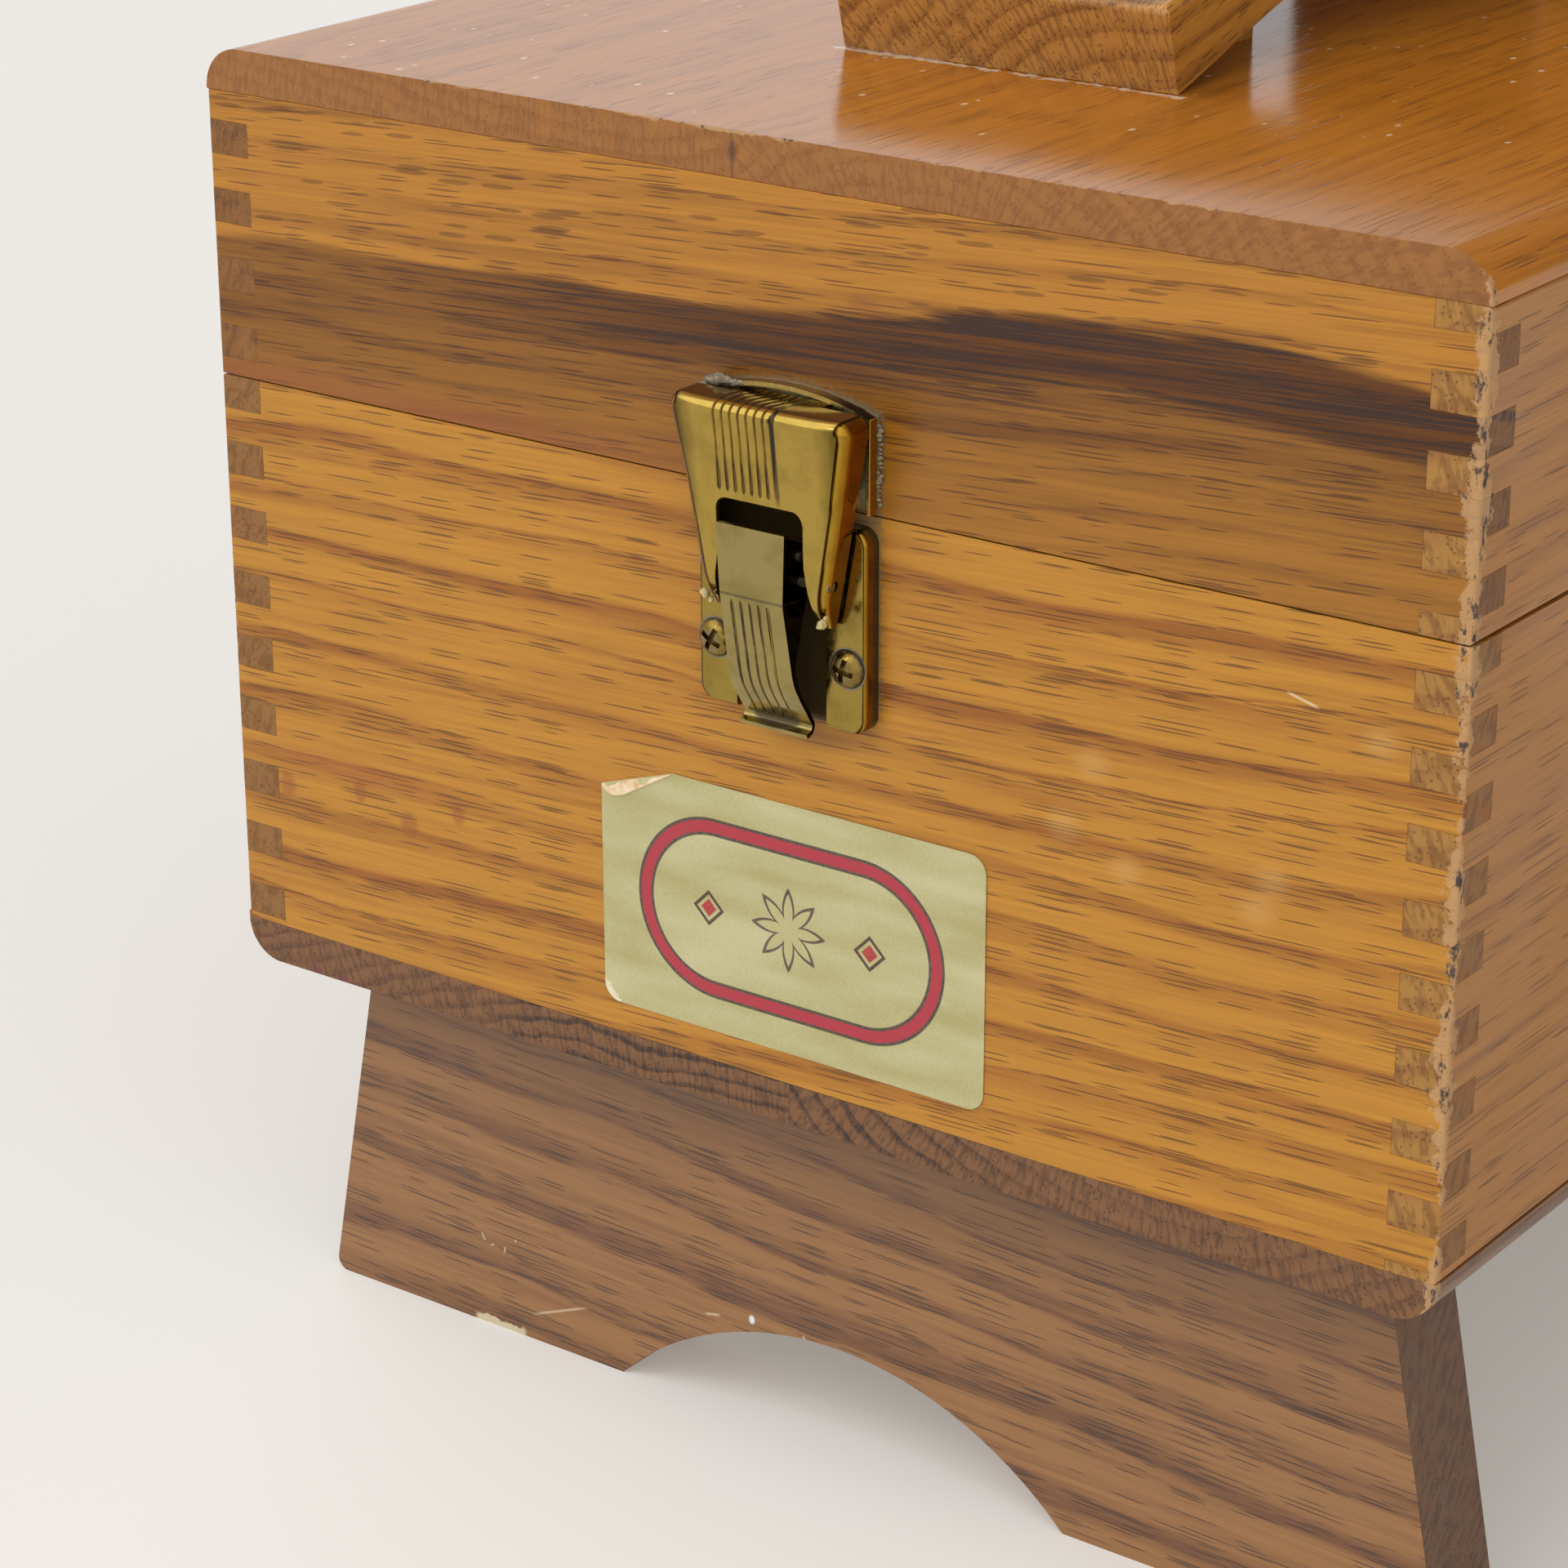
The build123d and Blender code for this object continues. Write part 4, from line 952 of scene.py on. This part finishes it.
def groove_dirt(node, parts, first, spacing, count, low, high):
    """Dark dirt down the middle of each groove. Places in mm from the latch's middle and foot. It also
    gives how far a point lies right of the first groove, and its height."""
    x = node("Math", parts["X"], to_mm, -latch_middle * to_mm - first, operation="MULTIPLY_ADD")
    away = node("Math", x, spacing / 2, operation="PINGPONG")
    in_groove = node("MapRange", away, 0.26, 0.12)
    after_start = node("Math", x, -spacing / 2, operation="GREATER_THAN")
    inside = node("Math", after_start, in_groove, operation="MULTIPLY")
    before_end = node("Math", x, spacing * (count - 0.5), operation="LESS_THAN")
    inside = node("Math", inside, before_end, operation="MULTIPLY")
    height = node("Math", parts["Z"], to_mm, -box_underside * to_mm, operation="MULTIPLY_ADD")
    above = node("MapRange", height, low, low + 0.8)
    below = node("MapRange", height, high, high - 0.8)
    tall = node("Math", above, below, operation="MULTIPLY")
    return node("Math", inside, tall, operation="MULTIPLY"), x, height


# Where the lever's tip hollow gets painted shade, and the height of the painted shade line at its crease, in
# mm.
hollow_middle, hollow_half, crease_height = (4.3, 79.3), (5.6, 1.7), 102.6


def streaked_brass(name, tint, roughness, grooves, side=painted_side_reflection, ledge_and_inner_shade=None, tip_and_crease_shade=False):
    """Brass with painted reflections on its rolled edges, and dirt in its grooves. The hasp has a dark line
    down a ledge right of them, and painted shade on its inner sides near its middle. The lever has
    painted shade along a crease line and in the hollow at its tip."""
    material, node, coordinates, colour = brass_base(name, tint, roughness)
    mixed = painted_edge_reflection(node, coordinates, colour, side)
    parts = node("SeparateXYZ", coordinates["Object"]).outputs
    dirt, x, height = groove_dirt(node, parts, *grooves)
    smear = node("TexNoise", coordinates["Object"], Scale=500.0, Detail=3.0)
    thick = node("MapRange", smear, 0.3, 0.6, 0.35, 0.9)
    dirt = node("Math", dirt, thick, operation="MULTIPLY")
    if ledge_and_inner_shade:
        at, half_width, window_half = ledge_and_inner_shade
        away = node("Math", node("Math", x, -at, operation="ADD"), operation="ABSOLUTE")
        tall = node("MapRange", height, grooves[3] - 1.0, grooves[3] + 1.0)
        line = node("MapRange", away, half_width, half_width * 0.6, 0.0, 0.75)
        line = node("Math", line, tall, operation="MULTIPLY")
        # The hasp's inner sides near its middle get painted shade.
        sideways = node("Math", node("SeparateXYZ", coordinates["Normal"]).outputs["X"], operation="ABSOLUTE")
        aside = node("Math", node("Math", x, grooves[0], operation="ADD"), operation="ABSOLUTE")
        within = node("Math", aside, window_half, operation="LESS_THAN")
        inner = node("Math", node("MapRange", sideways, 0.6, 0.8, 0.0, 0.85), within, operation="MULTIPLY")
        dirt = node("Math", dirt, node("Math", line, inner, operation="MAXIMUM"), operation="MAXIMUM")
    if tip_and_crease_shade:
        # Painted shade in the hollow of the lever's tip, and a thin painted shade line along its crease.
        offset = [
            node("Math", node("Math", place, -middle, operation="ADD"), 1 / half, operation="MULTIPLY")
            for place, middle, half in zip((x, height), hollow_middle, hollow_half)
        ]
        away = node("VectorMath", node("CombineXYZ", *offset), operation="LENGTH").outputs["Value"]
        painted_hollow_shade = node("MapRange", away, 1.0, 0.8, 0.0, 0.8)
        from_crease = node("Math", height, -crease_height, operation="ADD")
        from_crease = node("Math", from_crease, operation="ABSOLUTE")
        painted_crease_shade = node("MapRange", from_crease, 0.3, 0.12, 0.0, 0.6)
        dirt = node("Math", dirt, node("Math", painted_hollow_shade, painted_crease_shade, operation="MAXIMUM"), operation="MAXIMUM")
    # Dirt in the grooves and all the painted shade darken the brass to one brown, and make it less metal.
    mixed = node("Mix", dirt, mixed, linear("#2B1F12"), data_type="RGBA")
    return dress(material, Base_Color=mixed, Metallic=node("MapRange", dirt, 0.0, 1.0, 1.0, 0.3))


def out_of_wood(node, coordinates):
    """How far a point stands out of the box's front face, in mm."""
    out = node("Math", -to_mm, node("SeparateXYZ", coordinates["Object"]).outputs["Y"], operation="MULTIPLY")
    return node("Math", out, front_face * to_mm, operation="ADD")


def dirty_brass(name, deep_out, shallow_out, dirt="#2E2218", **brass):
    """Brass whose deep places are dark with old wax: fully dirty nearer to the wood than deep_out, in mm."""
    material, node, coordinates, colour = brass_base(name, **brass)
    smear = node("TexNoise", coordinates["Object"], Scale=380.0, Detail=4.0, Roughness=0.7)
    spread = node("Math", smear, 1.6, -0.8, operation="MULTIPLY_ADD")
    depth = node("Math", out_of_wood(node, coordinates), spread, operation="ADD")
    dirty = node("MapRange", depth, deep_out, shallow_out, 0.88, 0.0, interpolation_type="SMOOTHSTEP")
    mixed = node("Mix", dirty, painted_edge_reflection(node, coordinates, colour), linear(dirt), data_type="RGBA")
    return dress(material, Base_Color=mixed, Metallic=node("MapRange", dirty, 0.0, 1.0, 1.0, 0.25))


# Grooves: the first one's x, spacing, count, lower and upper end. Ledge: how far right of the first
# groove, half its width, and how far from the latch's middle an inner side gets painted shade.
hasp_dirt_and_shade = dict(grooves=(-7.9, 1.7, 7, 119.5, 140.0), ledge_and_inner_shade=(12.1, 0.55, 11.0))
hasp_brass = streaked_brass("polished_brass_hasp", "#B29648", 0.11, **hasp_dirt_and_shade)
# The lever's sides get a dark painted reflection, and its tip and crease get painted shade.
lever_dirt_and_painted_light = dict(grooves=(-4.5, 2.0, 5, 80.5, 101.8), side="#2E2214", tip_and_crease_shade=True)
lever_brass = streaked_brass("polished_brass_lever", "#A1905A", 0.16, **lever_dirt_and_painted_light)
plate_brass = dirty_brass("polished_brass_base_plate", 1.2, 2.6)
catch_brass = dirty_brass("polished_brass_catch", 0.4, 1.2, "#8A7F68", tint="#CDB878", roughness=0.3)
hinge_brass = brass_base("polished_brass_hinge", "#A38A45", 0.25)[0]
pin_steel = brass_base("plated_steel_pin", "#8A8270", 0.3)[0]

# %% [markdown]
# ## The hasp
# The hasp is the shield-shaped plate that the lever pulls down. It is one pressed sheet: its edges
# roll back, its face leans out towards the top, its two legs sweep back to the pin, and seven
# pressed grooves, with a broader ledge right of them, run down it and over its top edge. It starts as
# a copy of the solid. Planes cut the faces along each groove, and the middle line of a groove is
# pushed in. Then every point is moved nearer or further out by a depth that depends on its height and
# on how far aside it is, which leans the face, rolls its sides back and tapers the legs.

# %% Hasp
latch_foot = box_underside
hasp_grooves = (-7.9, -6.2, -4.5, -2.8, -1.1, 0.6, 2.3)
hasp_ledge = (4.2,)
groove_half, ledge_half, groove_depth, groove_end = 0.00028, 0.00055, 0.00022, 0.0006
hasp_groove_low, past_top = latch_foot + 0.1198, 1.0


def slice_at(shape, point, normal):
    """Cuts the faces along a plane and leaves both halves joined."""
    geometry = list(shape.verts) + list(shape.edges) + list(shape.faces)
    bmesh.ops.bisect_plane(shape, geom=geometry, plane_co=point, plane_no=normal, dist=1e-7)


def press_grooves(shape, xs, low, high, facing, half=groove_half):
    """V grooves along Z, between two heights, at points that pass a test. Their places xs are in mm."""
    for level in (low, low + groove_end, high - groove_end, high):
        slice_at(shape, (0.0, 0.0, level), (0.0, 0.0, 1.0))
    for x in xs:
        for step in (-1, 0, 1):
            slice_at(shape, (latch_middle + x * mm + step * half, 0.0, 0.0), (1.0, 0.0, 0.0))
    shape.normal_update()
    lines = [latch_middle + x * mm for x in xs]
    for vert in shape.verts:
        on_line = min(abs(vert.co.x - line) for line in lines) < 1e-6
        if on_line and low + 1e-5 < vert.co.z < high - 1e-5 and facing(vert):
            vert.co -= vert.normal * groove_depth


def out_of(vert):
    """How far a point is out of the box's front face."""
    return front_face - vert.co.y


def on_hasp_face(vert):
    """True on the hasp's face and over its top edge."""
    return (vert.normal.y < -0.15 or vert.normal.z > 0.3) and out_of(vert) > 0.0055


def hasp_depth(height, aside):
    """How far out the hasp's face is at a height, and at a distance from its middle, all in mm."""
    bend, crest = 106, 118.5
    if height > crest:
        out = 10.0 + 0.13 * (height - crest)
    elif height > bend:
        out = 9.4 + 0.048 * (height - bend)
    else:
        out = 9.4 - 3.0 * ((bend - height) / 8) ** 2
    return out - 1.5 * max(0.0, (aside - 9.0) / 10.0) ** 2


mesh, shape = copy_of("latch_hasp", "pressed_hasp")
for level in range(98, 112):
    slice_at(shape, (0.0, 0.0, latch_foot + level * mm), (0.0, 0.0, 1.0))
for xs, half in ((hasp_grooves, groove_half), (hasp_ledge, ledge_half)):
    press_grooves(shape, xs, hasp_groove_low, past_top, on_hasp_face, half)
for step in (9, 11, 13, 15, 17):
    for side in (-1, 1):
        slice_at(shape, (latch_middle + side * step * mm, 0.0, 0.0), (1.0, 0.0, 0.0))
hasp_back = min(out_of(v) for v in shape.verts if v.co.z < latch_foot + 0.11)
hasp_front = max(out_of(v) for v in shape.verts)
for vert in shape.verts:
    height, aside = (vert.co.z - latch_foot) * to_mm, abs(vert.co.x - latch_middle) * to_mm
    face_out = hasp_depth(height, aside)
    stretch = (face_out * mm - hasp_back) / (hasp_front - hasp_back)
    if out_of(vert) > hasp_back:
        vert.co.y = front_face - hasp_back - (out_of(vert) - hasp_back) * stretch
finish_piece(mesh, shape, "latch_hasp", hasp_brass, "hasp", 32)
print("hasp out", round(hasp_back * to_mm, 2), "to", round(hasp_front * to_mm, 2), "mm")

# %% [markdown]
# ## The lever
# The lever is the finger piece. Its upper half is plain, a crease crosses it, and five grooves run
# down its lower half to the lifted tip. Its face narrows by a twelfth towards the crease.

# %% Lever
lever_grooves = (-4.5, -2.5, -0.5, 1.5, 3.5)
narrower, narrowing_from, narrowing_over = 0.08, 115, 12


def on_lever_face(vert):
    """True on the lever's face, not on its cheeks."""
    return vert.normal.y < -0.3


mesh, shape = copy_of("latch_lever", "pressed_lever")
press_grooves(shape, lever_grooves, latch_foot + 0.0795, latch_foot + 0.1018, on_lever_face)
for vert in shape.verts:
    height = (vert.co.z - latch_foot) * to_mm
    outer = max(0.0, min(1.0, (out_of(vert) * to_mm - 8.5) / 2))
    waist = max(0.0, min(1.0, (narrowing_from - height) / narrowing_over)) * outer
    vert.co.x = latch_middle + (vert.co.x - latch_middle) * (1 - narrower * waist)
bevel(shape, outward_edges(shape, 0.0016, 50), 0.00022)
finish_piece(mesh, shape, "latch_lever", lever_brass, "lever", 32)

# %% Base plate and catch
for name, metal, rides in (("latch_base_plate", plate_brass, "box"), ("latch_catch", catch_brass, "lid")):
    mesh, shape = copy_of(name, f"pressed_{name}")
    bevel(shape, outward_edges(shape, 0.0016, 50), 0.0002)
    finish_piece(mesh, shape, name, metal, rides, 50)

# %% Pins, hinges and screws keep their solids
steel_nodes = ("latch_lever_pin", "latch_hasp_pin", "latch_base_screws", "latch_catch_screws")
steel_nodes += ("foot_screws", "foot_rest_screws")
plain_metal = {name: hinge_brass for name in nodes if name.startswith("hinge")}
plain_metal.update((name, pin_steel) for name in steel_nodes)
for name, metal in plain_metal.items():
    nodes[name].data.materials.clear()
    nodes[name].data.materials.append(metal)
print("plain metal nodes", len(plain_metal))

# %% [markdown]
# ## The label
# A sticker of gold-coloured foil on paper. It has been on the wood for years, so it is slightly
# wavy, its top left corner has come loose and folded over, and the fold shows the paper back. It is
# printed in red and brown with a plain ring, a star and two diamonds. The foil is varnished, so it is
# satin: about half of what it shows is metal, and half is the coat's own pale colour.

# %% Foil material
label_low, label_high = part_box("label_foil")
label_middle = (label_low + label_high) / 2
fold_from = Vector((label_low.x, 0.0, label_high.z - 0.0054))
fold_to = Vector((label_low.x + 0.0163, 0.0, label_high.z))


def printed_foil():
    """Satin foil with a red ring between two dark lines, a star and two diamonds. Sizes in mm."""
    material, node, coordinates = start_material("varnished_gold_foil_sticker")
    shift = tuple(-to_mm * c for c in label_middle)
    point = node("Mapping", coordinates["Object"], shift, (0.0, 0.0, 0.0), (to_mm,) * 3)
    parts = node("SeparateXYZ", point).outputs
    across = node("Math", parts["X"], operation="ABSOLUTE")
    up = node("Math", parts["Z"], operation="ABSOLUTE")

    # The ring is a stadium: the distance to a 32 mm line, so that it is equally wide all round.
    half_line, ring_radius = 16.0, 15.6
    beyond = node("Math", node("Math", across, half_line, operation="SUBTRACT"), 0.0, operation="MAXIMUM")
    reach = node("VectorMath", node("CombineXYZ", beyond, up), operation="LENGTH").outputs["Value"]
    from_ring = node("Math", node("Math", reach, ring_radius, operation="SUBTRACT"), operation="ABSOLUTE")
    red = node("MapRange", from_ring, 1.15, 1.0)
    dark = node("MapRange", from_ring, 1.75, 1.6)

    # The star has eight rays: its edge moves in and out with the angle.
    turn = node("Math", parts["X"], parts["Z"], operation="ARCTAN2")
    ray = node("Math", node("Math", turn, 4.0 / math.pi, operation="MULTIPLY"), 0.5, operation="PINGPONG")
    edge = node("Math", ray, -9.6, 8.2, operation="MULTIPLY_ADD")
    from_middle = node("CombineXYZ", parts["X"], parts["Z"])
    middle_away = node("VectorMath", from_middle, operation="LENGTH").outputs["Value"]
    inside_star = node("Math", edge, middle_away, operation="SUBTRACT")
    star = node("MapRange", inside_star, 0.0, 0.2)
    star_heart = node("MapRange", inside_star, 1.2, 1.4)
    aside = node("Math", node("Math", across, 17.5, operation="SUBTRACT"), operation="ABSOLUTE")
    diamond = node("Math", node("Math", aside, up, operation="ADD"), 3.0, operation="SUBTRACT")
    outline = node("MapRange", node("Math", diamond, operation="ABSOLUTE"), 0.5, 0.35)
    inner = node("MapRange", node("Math", diamond, -1.2, operation="SUBTRACT"), 0.0, -0.15)

    # Foil with long shallow smears where it doesn't lie flat, and pale rubbed edges. The smears' lighter
    # tone is a painted sheen, over a real mottle.
    smear_place = node("VectorMath", point, (0.035, 0.0, 0.16), operation="MULTIPLY")
    smear = node("TexNoise", smear_place, Scale=1.0, Detail=1.0)
    grain = node("TexNoise", point, Scale=2.2, Detail=3.0)
    mottle_and_sheen = node("Math", smear, 0.7, operation="MULTIPLY")
    mottle_and_sheen = node("Math", grain, 0.3, mottle_and_sheen, operation="MULTIPLY_ADD")
    mottle_and_sheen = node("MapRange", mottle_and_sheen, 0.35, 0.65)
    colour = node("Mix", mottle_and_sheen, linear("#B4AC76"), linear("#CCC69A"), data_type="RGBA")
    ink = node("MapRange", grain, 0.2, 0.75, 0.8, 1.0)
    for mask, hex_colour in (
        (dark, "#3F2A2C"),
        (red, "#B23040"),
        (star, "#4B3534"),
        (star_heart, "#BDB580"),
        (outline, "#4B3534"),
        (inner, "#B23040"),
    ):
        printed = node("Math", mask, ink, operation="MULTIPLY")
        colour = node("Mix", printed, colour, linear(hex_colour), data_type="RGBA")
    # The lower left corner is chewed to pale paper, as far as a ragged reach from its tip.
    half_width, half_height = ((high - low) * to_mm / 2 for low, high in zip(label_low.xz, label_high.xz))
    from_left = node("Math", parts["X"], half_width, operation="ADD")
    from_low = node("Math", parts["Z"], half_height, operation="ADD")
    corner = node("Math", from_left, from_low, operation="ADD")
    chewed = node("Math", grain, 5.0, 1.6, operation="MULTIPLY_ADD")
    chewed = node("Math", chewed, corner, operation="SUBTRACT")
    worn = node("MapRange", chewed, 0.0, 0.4, 0.0, 0.8)
    colour = node("Mix", worn, colour, linear("#E6DEC4"), data_type="RGBA")
    inked = node("Math", node("Math", dark, star, operation="MAXIMUM"), worn, operation="MAXIMUM")
    metal = node("MapRange", inked, 0.0, 1.0, 0.55, 0.1)
    rough = node("MapRange", smear, 0.35, 0.65, 0.24, 0.4)
    bump = node("Bump", 0.5, 0.0003, Height=smear)
    return dress(material, Base_Color=colour, Metallic=metal, Roughness=rough, Normal=bump)


def paper_back():
    """The sticker's back: cream paper, stained by old glue."""
    material, node, coordinates = start_material("glue_stained_paper")
    stain = node("TexNoise", coordinates["Object"], Scale=420.0, Detail=4.0, Roughness=0.6)
    amount = node("MapRange", stain, 0.4, 0.7)
    colour = node("Mix", amount, linear("#E8D2B0"), linear("#C79F6C"), data_type="RGBA")
    bump = node("Bump", 0.4, 0.0002, Height=stain)
    return dress(material, Base_Color=colour, Roughness=0.6, Normal=bump)


# %% [markdown]
# The sticker is a copy of its solid, cut by planes into a grid so that it can bend. The corner beyond
# the fold line is turned half round about that line, so what was its back lies outward, and the rest
# gets waves of a tenth of a millimetre.

# %% Label
label_step, fold_strip, fold_out = 0.0026, 0.0003, 0.00022
fold_over, fold_lift = 1.62, 0.03
wave_rise, wave_scale = 0.00007, (55.0, 90.0)
mesh, shape = copy_of("label_foil", "folded_label")
for polygon in shape.faces:
    polygon.material_index = 1 if polygon.normal.y > 0.5 else 0
for axis, low, high in ((0, label_low.x, label_high.x), (2, label_low.z, label_high.z)):
    steps = int((high - low) / label_step)
    for step in range(1, steps + 1):
        point, normal = Vector(label_low), Vector((0.0, 0.0, 0.0))
        point[axis], normal[axis] = low + (high - low) * step / (steps + 1), 1.0
        slice_at(shape, point, normal)
fold_along = (fold_to - fold_from).normalized()
fold_beyond = Vector((-fold_along.z, 0.0, fold_along.x))
for shift in (0.0, -fold_strip):
    slice_at(shape, fold_from + fold_beyond * shift, fold_beyond)
label_front = label_low.y
for vert in shape.verts:
    beyond = (vert.co - fold_from).dot(fold_beyond)
    deep = vert.co.y - label_front
    if beyond > 1e-6:
        vert.co -= fold_beyond * beyond * fold_over
        vert.co.y = label_front - fold_out - deep - beyond * fold_lift
    elif abs(beyond) > 1e-4:
        wave = noise.noise(Vector((vert.co.x * wave_scale[0], 0.0, vert.co.z * wave_scale[1])))
        vert.co.y -= wave_rise + wave_rise * wave
label_materials = [printed_foil(), paper_back()]
label_piece = finish_piece(mesh, shape, "label_foil", label_materials, "box", 60)
print("label faces", len(label_piece.data.polygons))

# %% [markdown]
# ## Screw heads and crumbs of wax
# The latch's base is held by two raised screws with a cross recess, which the solid has as flush heads.
# Each dome is a profile spun round the screw's middle line. Planes cut it along the edges of the cross,
# and the faces inside the cross are extruded inwards. Crumbs of old wax sit where the hasp's two
# legs end: small lumps, pushed about by noise, half sunk in the brass.

# %% Worn screw material
def worn_screw():
    """Brass-plated steel: brass in the low places, grey where the driver and the cloth have worn it."""
    material, node, coordinates, colour = brass_base("brass_plated_steel_screw", "#8A7338", 0.24)
    smear = node("TexNoise", coordinates["Object"], Scale=700.0, Detail=3.0)
    level = node("Math", smear, 1.4, out_of_wood(node, coordinates), operation="MULTIPLY_ADD")
    worn = node("MapRange", level, 5.9, 6.6, 0.0, 0.6)
    dirty = node("MapRange", level, 5.3, 4.7, 0.0, 0.95)
    mixed = node("Mix", worn, colour, linear("#9A968E"), data_type="RGBA")
    mixed = node("Mix", dirty, mixed, linear("#241B14"), data_type="RGBA")
    return dress(material, Base_Color=mixed, Metallic=node("MapRange", dirty, 0.0, 1.0, 1.0, 0.3))


# %% Domed screw heads
screw_metal = worn_screw()
# The profile of a dome: radius and height, in mm, from its top to just under its rim.
dome_profile = ((0.0, 1.9), (1.2, 1.82), (2.2, 1.5), (3.0, 0.85), (3.4, 0.25), (3.5, 0.0), (3.5, -0.2))
cross_reach, cross_half, cross_floor = 2.1 * mm, 0.5 * mm, 0.55 * mm
pad_out = 3.7 * mm
screw_aside, screw_z = 13.9 * mm, latch_foot + 90.6 * mm


def domed_screw(name, x, z, turn_degrees):
    """One raised head with its middle at x and z, on the base plate's pad."""
    shape = bmesh.new()
    points = [shape.verts.new((r * mm, -h * mm, 0.0)) for r, h in dome_profile]
    edges = [shape.edges.new(pair) for pair in zip(points, points[1:])]
    bmesh.ops.spin(
        shape,
        geom=points + edges,
        cent=(0.0, 0.0, 0.0),
        axis=(0.0, 1.0, 0.0),
        angle=math.tau,
        steps=32,
        use_merge=True,
    )
    bmesh.ops.remove_doubles(shape, verts=shape.verts, dist=1e-6)
    bmesh.ops.recalc_face_normals(shape, faces=shape.faces)
    for at in (-cross_reach, -cross_half, cross_half, cross_reach):
        slice_at(shape, (at, 0.0, 0.0), (1.0, 0.0, 0.0))
        slice_at(shape, (0.0, 0.0, at), (0.0, 0.0, 1.0))

    def in_cross(face):
        middle = face.calc_center_median()
        near, far = sorted((abs(middle.x), abs(middle.z)))
        return near < cross_half and far < cross_reach and face.normal.y < -0.3

    cross = [f for f in shape.faces if in_cross(f)]
    grown = bmesh.ops.extrude_face_region(shape, geom=cross)
    for vert in grown["geom"]:
        if isinstance(vert, bmesh.types.BMVert):
            vert.co.y = -cross_floor
    bmesh.ops.delete(shape, geom=cross, context="FACES")
    turn = Matrix.Rotation(math.radians(turn_degrees), 4, "Y")
    place = Matrix.Translation((x, front_face - pad_out, z))
    bmesh.ops.transform(shape, matrix=place @ turn, verts=shape.verts)
    mesh = bpy.data.meshes.new(name)
    return finish_piece(mesh, shape, None, screw_metal, "box", 30)


for name, x, turn_degrees in (("left", -screw_aside, 28), ("right", screw_aside, 12)):
    head = domed_screw(f"domed_screw_{name}", latch_middle + x, screw_z, turn_degrees)
    print(head.name, len(head.data.polygons))


# %% Crumbs of wax
def old_wax():
    """Cream shoe wax gone hard: waxy, so a little light passes through it."""
    material, node, coordinates = start_material("dried_cream_wax")
    lumps = node("TexNoise", coordinates["Object"], Scale=1500.0, Detail=3.0)
    amount = node("MapRange", lumps, 0.35, 0.7)
    colour = node("Mix", amount, linear("#D8C48A"), linear("#8E7A48"), data_type="RGBA")
    dress(material, Subsurface_Weight=0.15, Subsurface_Radius=(0.0006, 0.0005, 0.0003))
    return dress(material, Base_Color=colour, Roughness=0.45)


wax = old_wax()
# Crumbs: x, height, how far out of the wood, and radius, in mm.
crumbs = ((-12.2, 100.4, 8.9, 0.8), (-11.4, 99.2, 8.2, 0.5), (12.3, 99.6, 8.9, 0.8), (13.0, 100.7, 8.6, 0.45))
for number, (x, height, out, radius) in enumerate(crumbs):
    shape = bmesh.new()
    bmesh.ops.create_icosphere(shape, subdivisions=3, radius=radius * mm)
    for vert in shape.verts:
        vert.co *= 1.0 + 0.5 * noise.noise(vert.co * 1600.0 + Vector((number * 9.0, 0.0, 0.0)))
    place = Vector((latch_middle + x * mm, front_face - out * mm, latch_foot + height * mm))
    bmesh.ops.translate(shape, vec=place, verts=shape.verts)
    finish_piece(bpy.data.meshes.new(f"wax_crumb_{number + 1}"), shape, None, wax, "hasp", 80)
print("crumbs", len(crumbs))

# %% [markdown]
# Grey dust and polish have matted into lint along the catch, where it meets the wood: a tuft on its
# upper left corner and a crumbly line down its right side. The tuft is a row of lumps that overlap.

# %% Matted dust
def matted_dust():
    """Lint and old polish: dull, grey beige and fibrous."""
    material, node, coordinates = start_material("matted_dust_and_polish")
    stretched = node("VectorMath", coordinates["Object"], (500.0, 2400.0, 1800.0), operation="MULTIPLY")
    fibres = node("TexNoise", stretched, Scale=1.0, Detail=3.0, Roughness=0.7)
    amount = node("MapRange", fibres, 0.35, 0.65)
    colour = node("Mix", amount, linear("#5E5443"), linear("#9C917A"), data_type="RGBA")
    bump = node("Bump", 0.8, 0.0003, Height=fibres)
    return dress(material, Base_Color=colour, Roughness=0.85, Normal=bump)


dust = matted_dust()
dice = random.Random(7)
# Lumps: the same four numbers.
lumps = [(-16.4, 134.9, 2.6, 0.8), (-15.0, 136.0, 2.7, 1.1), (-13.4, 136.4, 2.8, 1.2)]
lumps += [(-11.8, 136.4, 2.8, 1.0), (-10.4, 136.3, 2.8, 0.8), (-9.0, 136.4, 2.8, 0.6)]
right_edge = (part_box("latch_catch")[1].x - latch_middle) * to_mm
line_low, line_step, line_count = 119.5, 0.8, 18
for step in range(line_count):
    aside, out, radius = dice.uniform(0.0, 0.3), dice.uniform(0.2, 0.9), dice.uniform(0.3, 0.65)
    lumps.append((right_edge + aside, line_low + line_step * step, out, radius))
shape = bmesh.new()
squash = Matrix.Diagonal((1.3, 0.75, 0.8, 1.0))
for x, height, out, radius in lumps:
    place = Matrix.Translation((latch_middle + x * mm, front_face - out * mm, latch_foot + height * mm))
    made = bmesh.ops.create_icosphere(shape, subdivisions=2, radius=radius * mm, matrix=place @ squash)
    for vert in made["verts"]:
        vert.co += (vert.co - place.translation) * 0.7 * noise.noise(vert.co * 1900.0)
tuft = finish_piece(bpy.data.meshes.new("matted_dust_on_catch"), shape, None, dust, "lid", 80)
print("dust lumps", len(lumps), len(tuft.data.polygons))
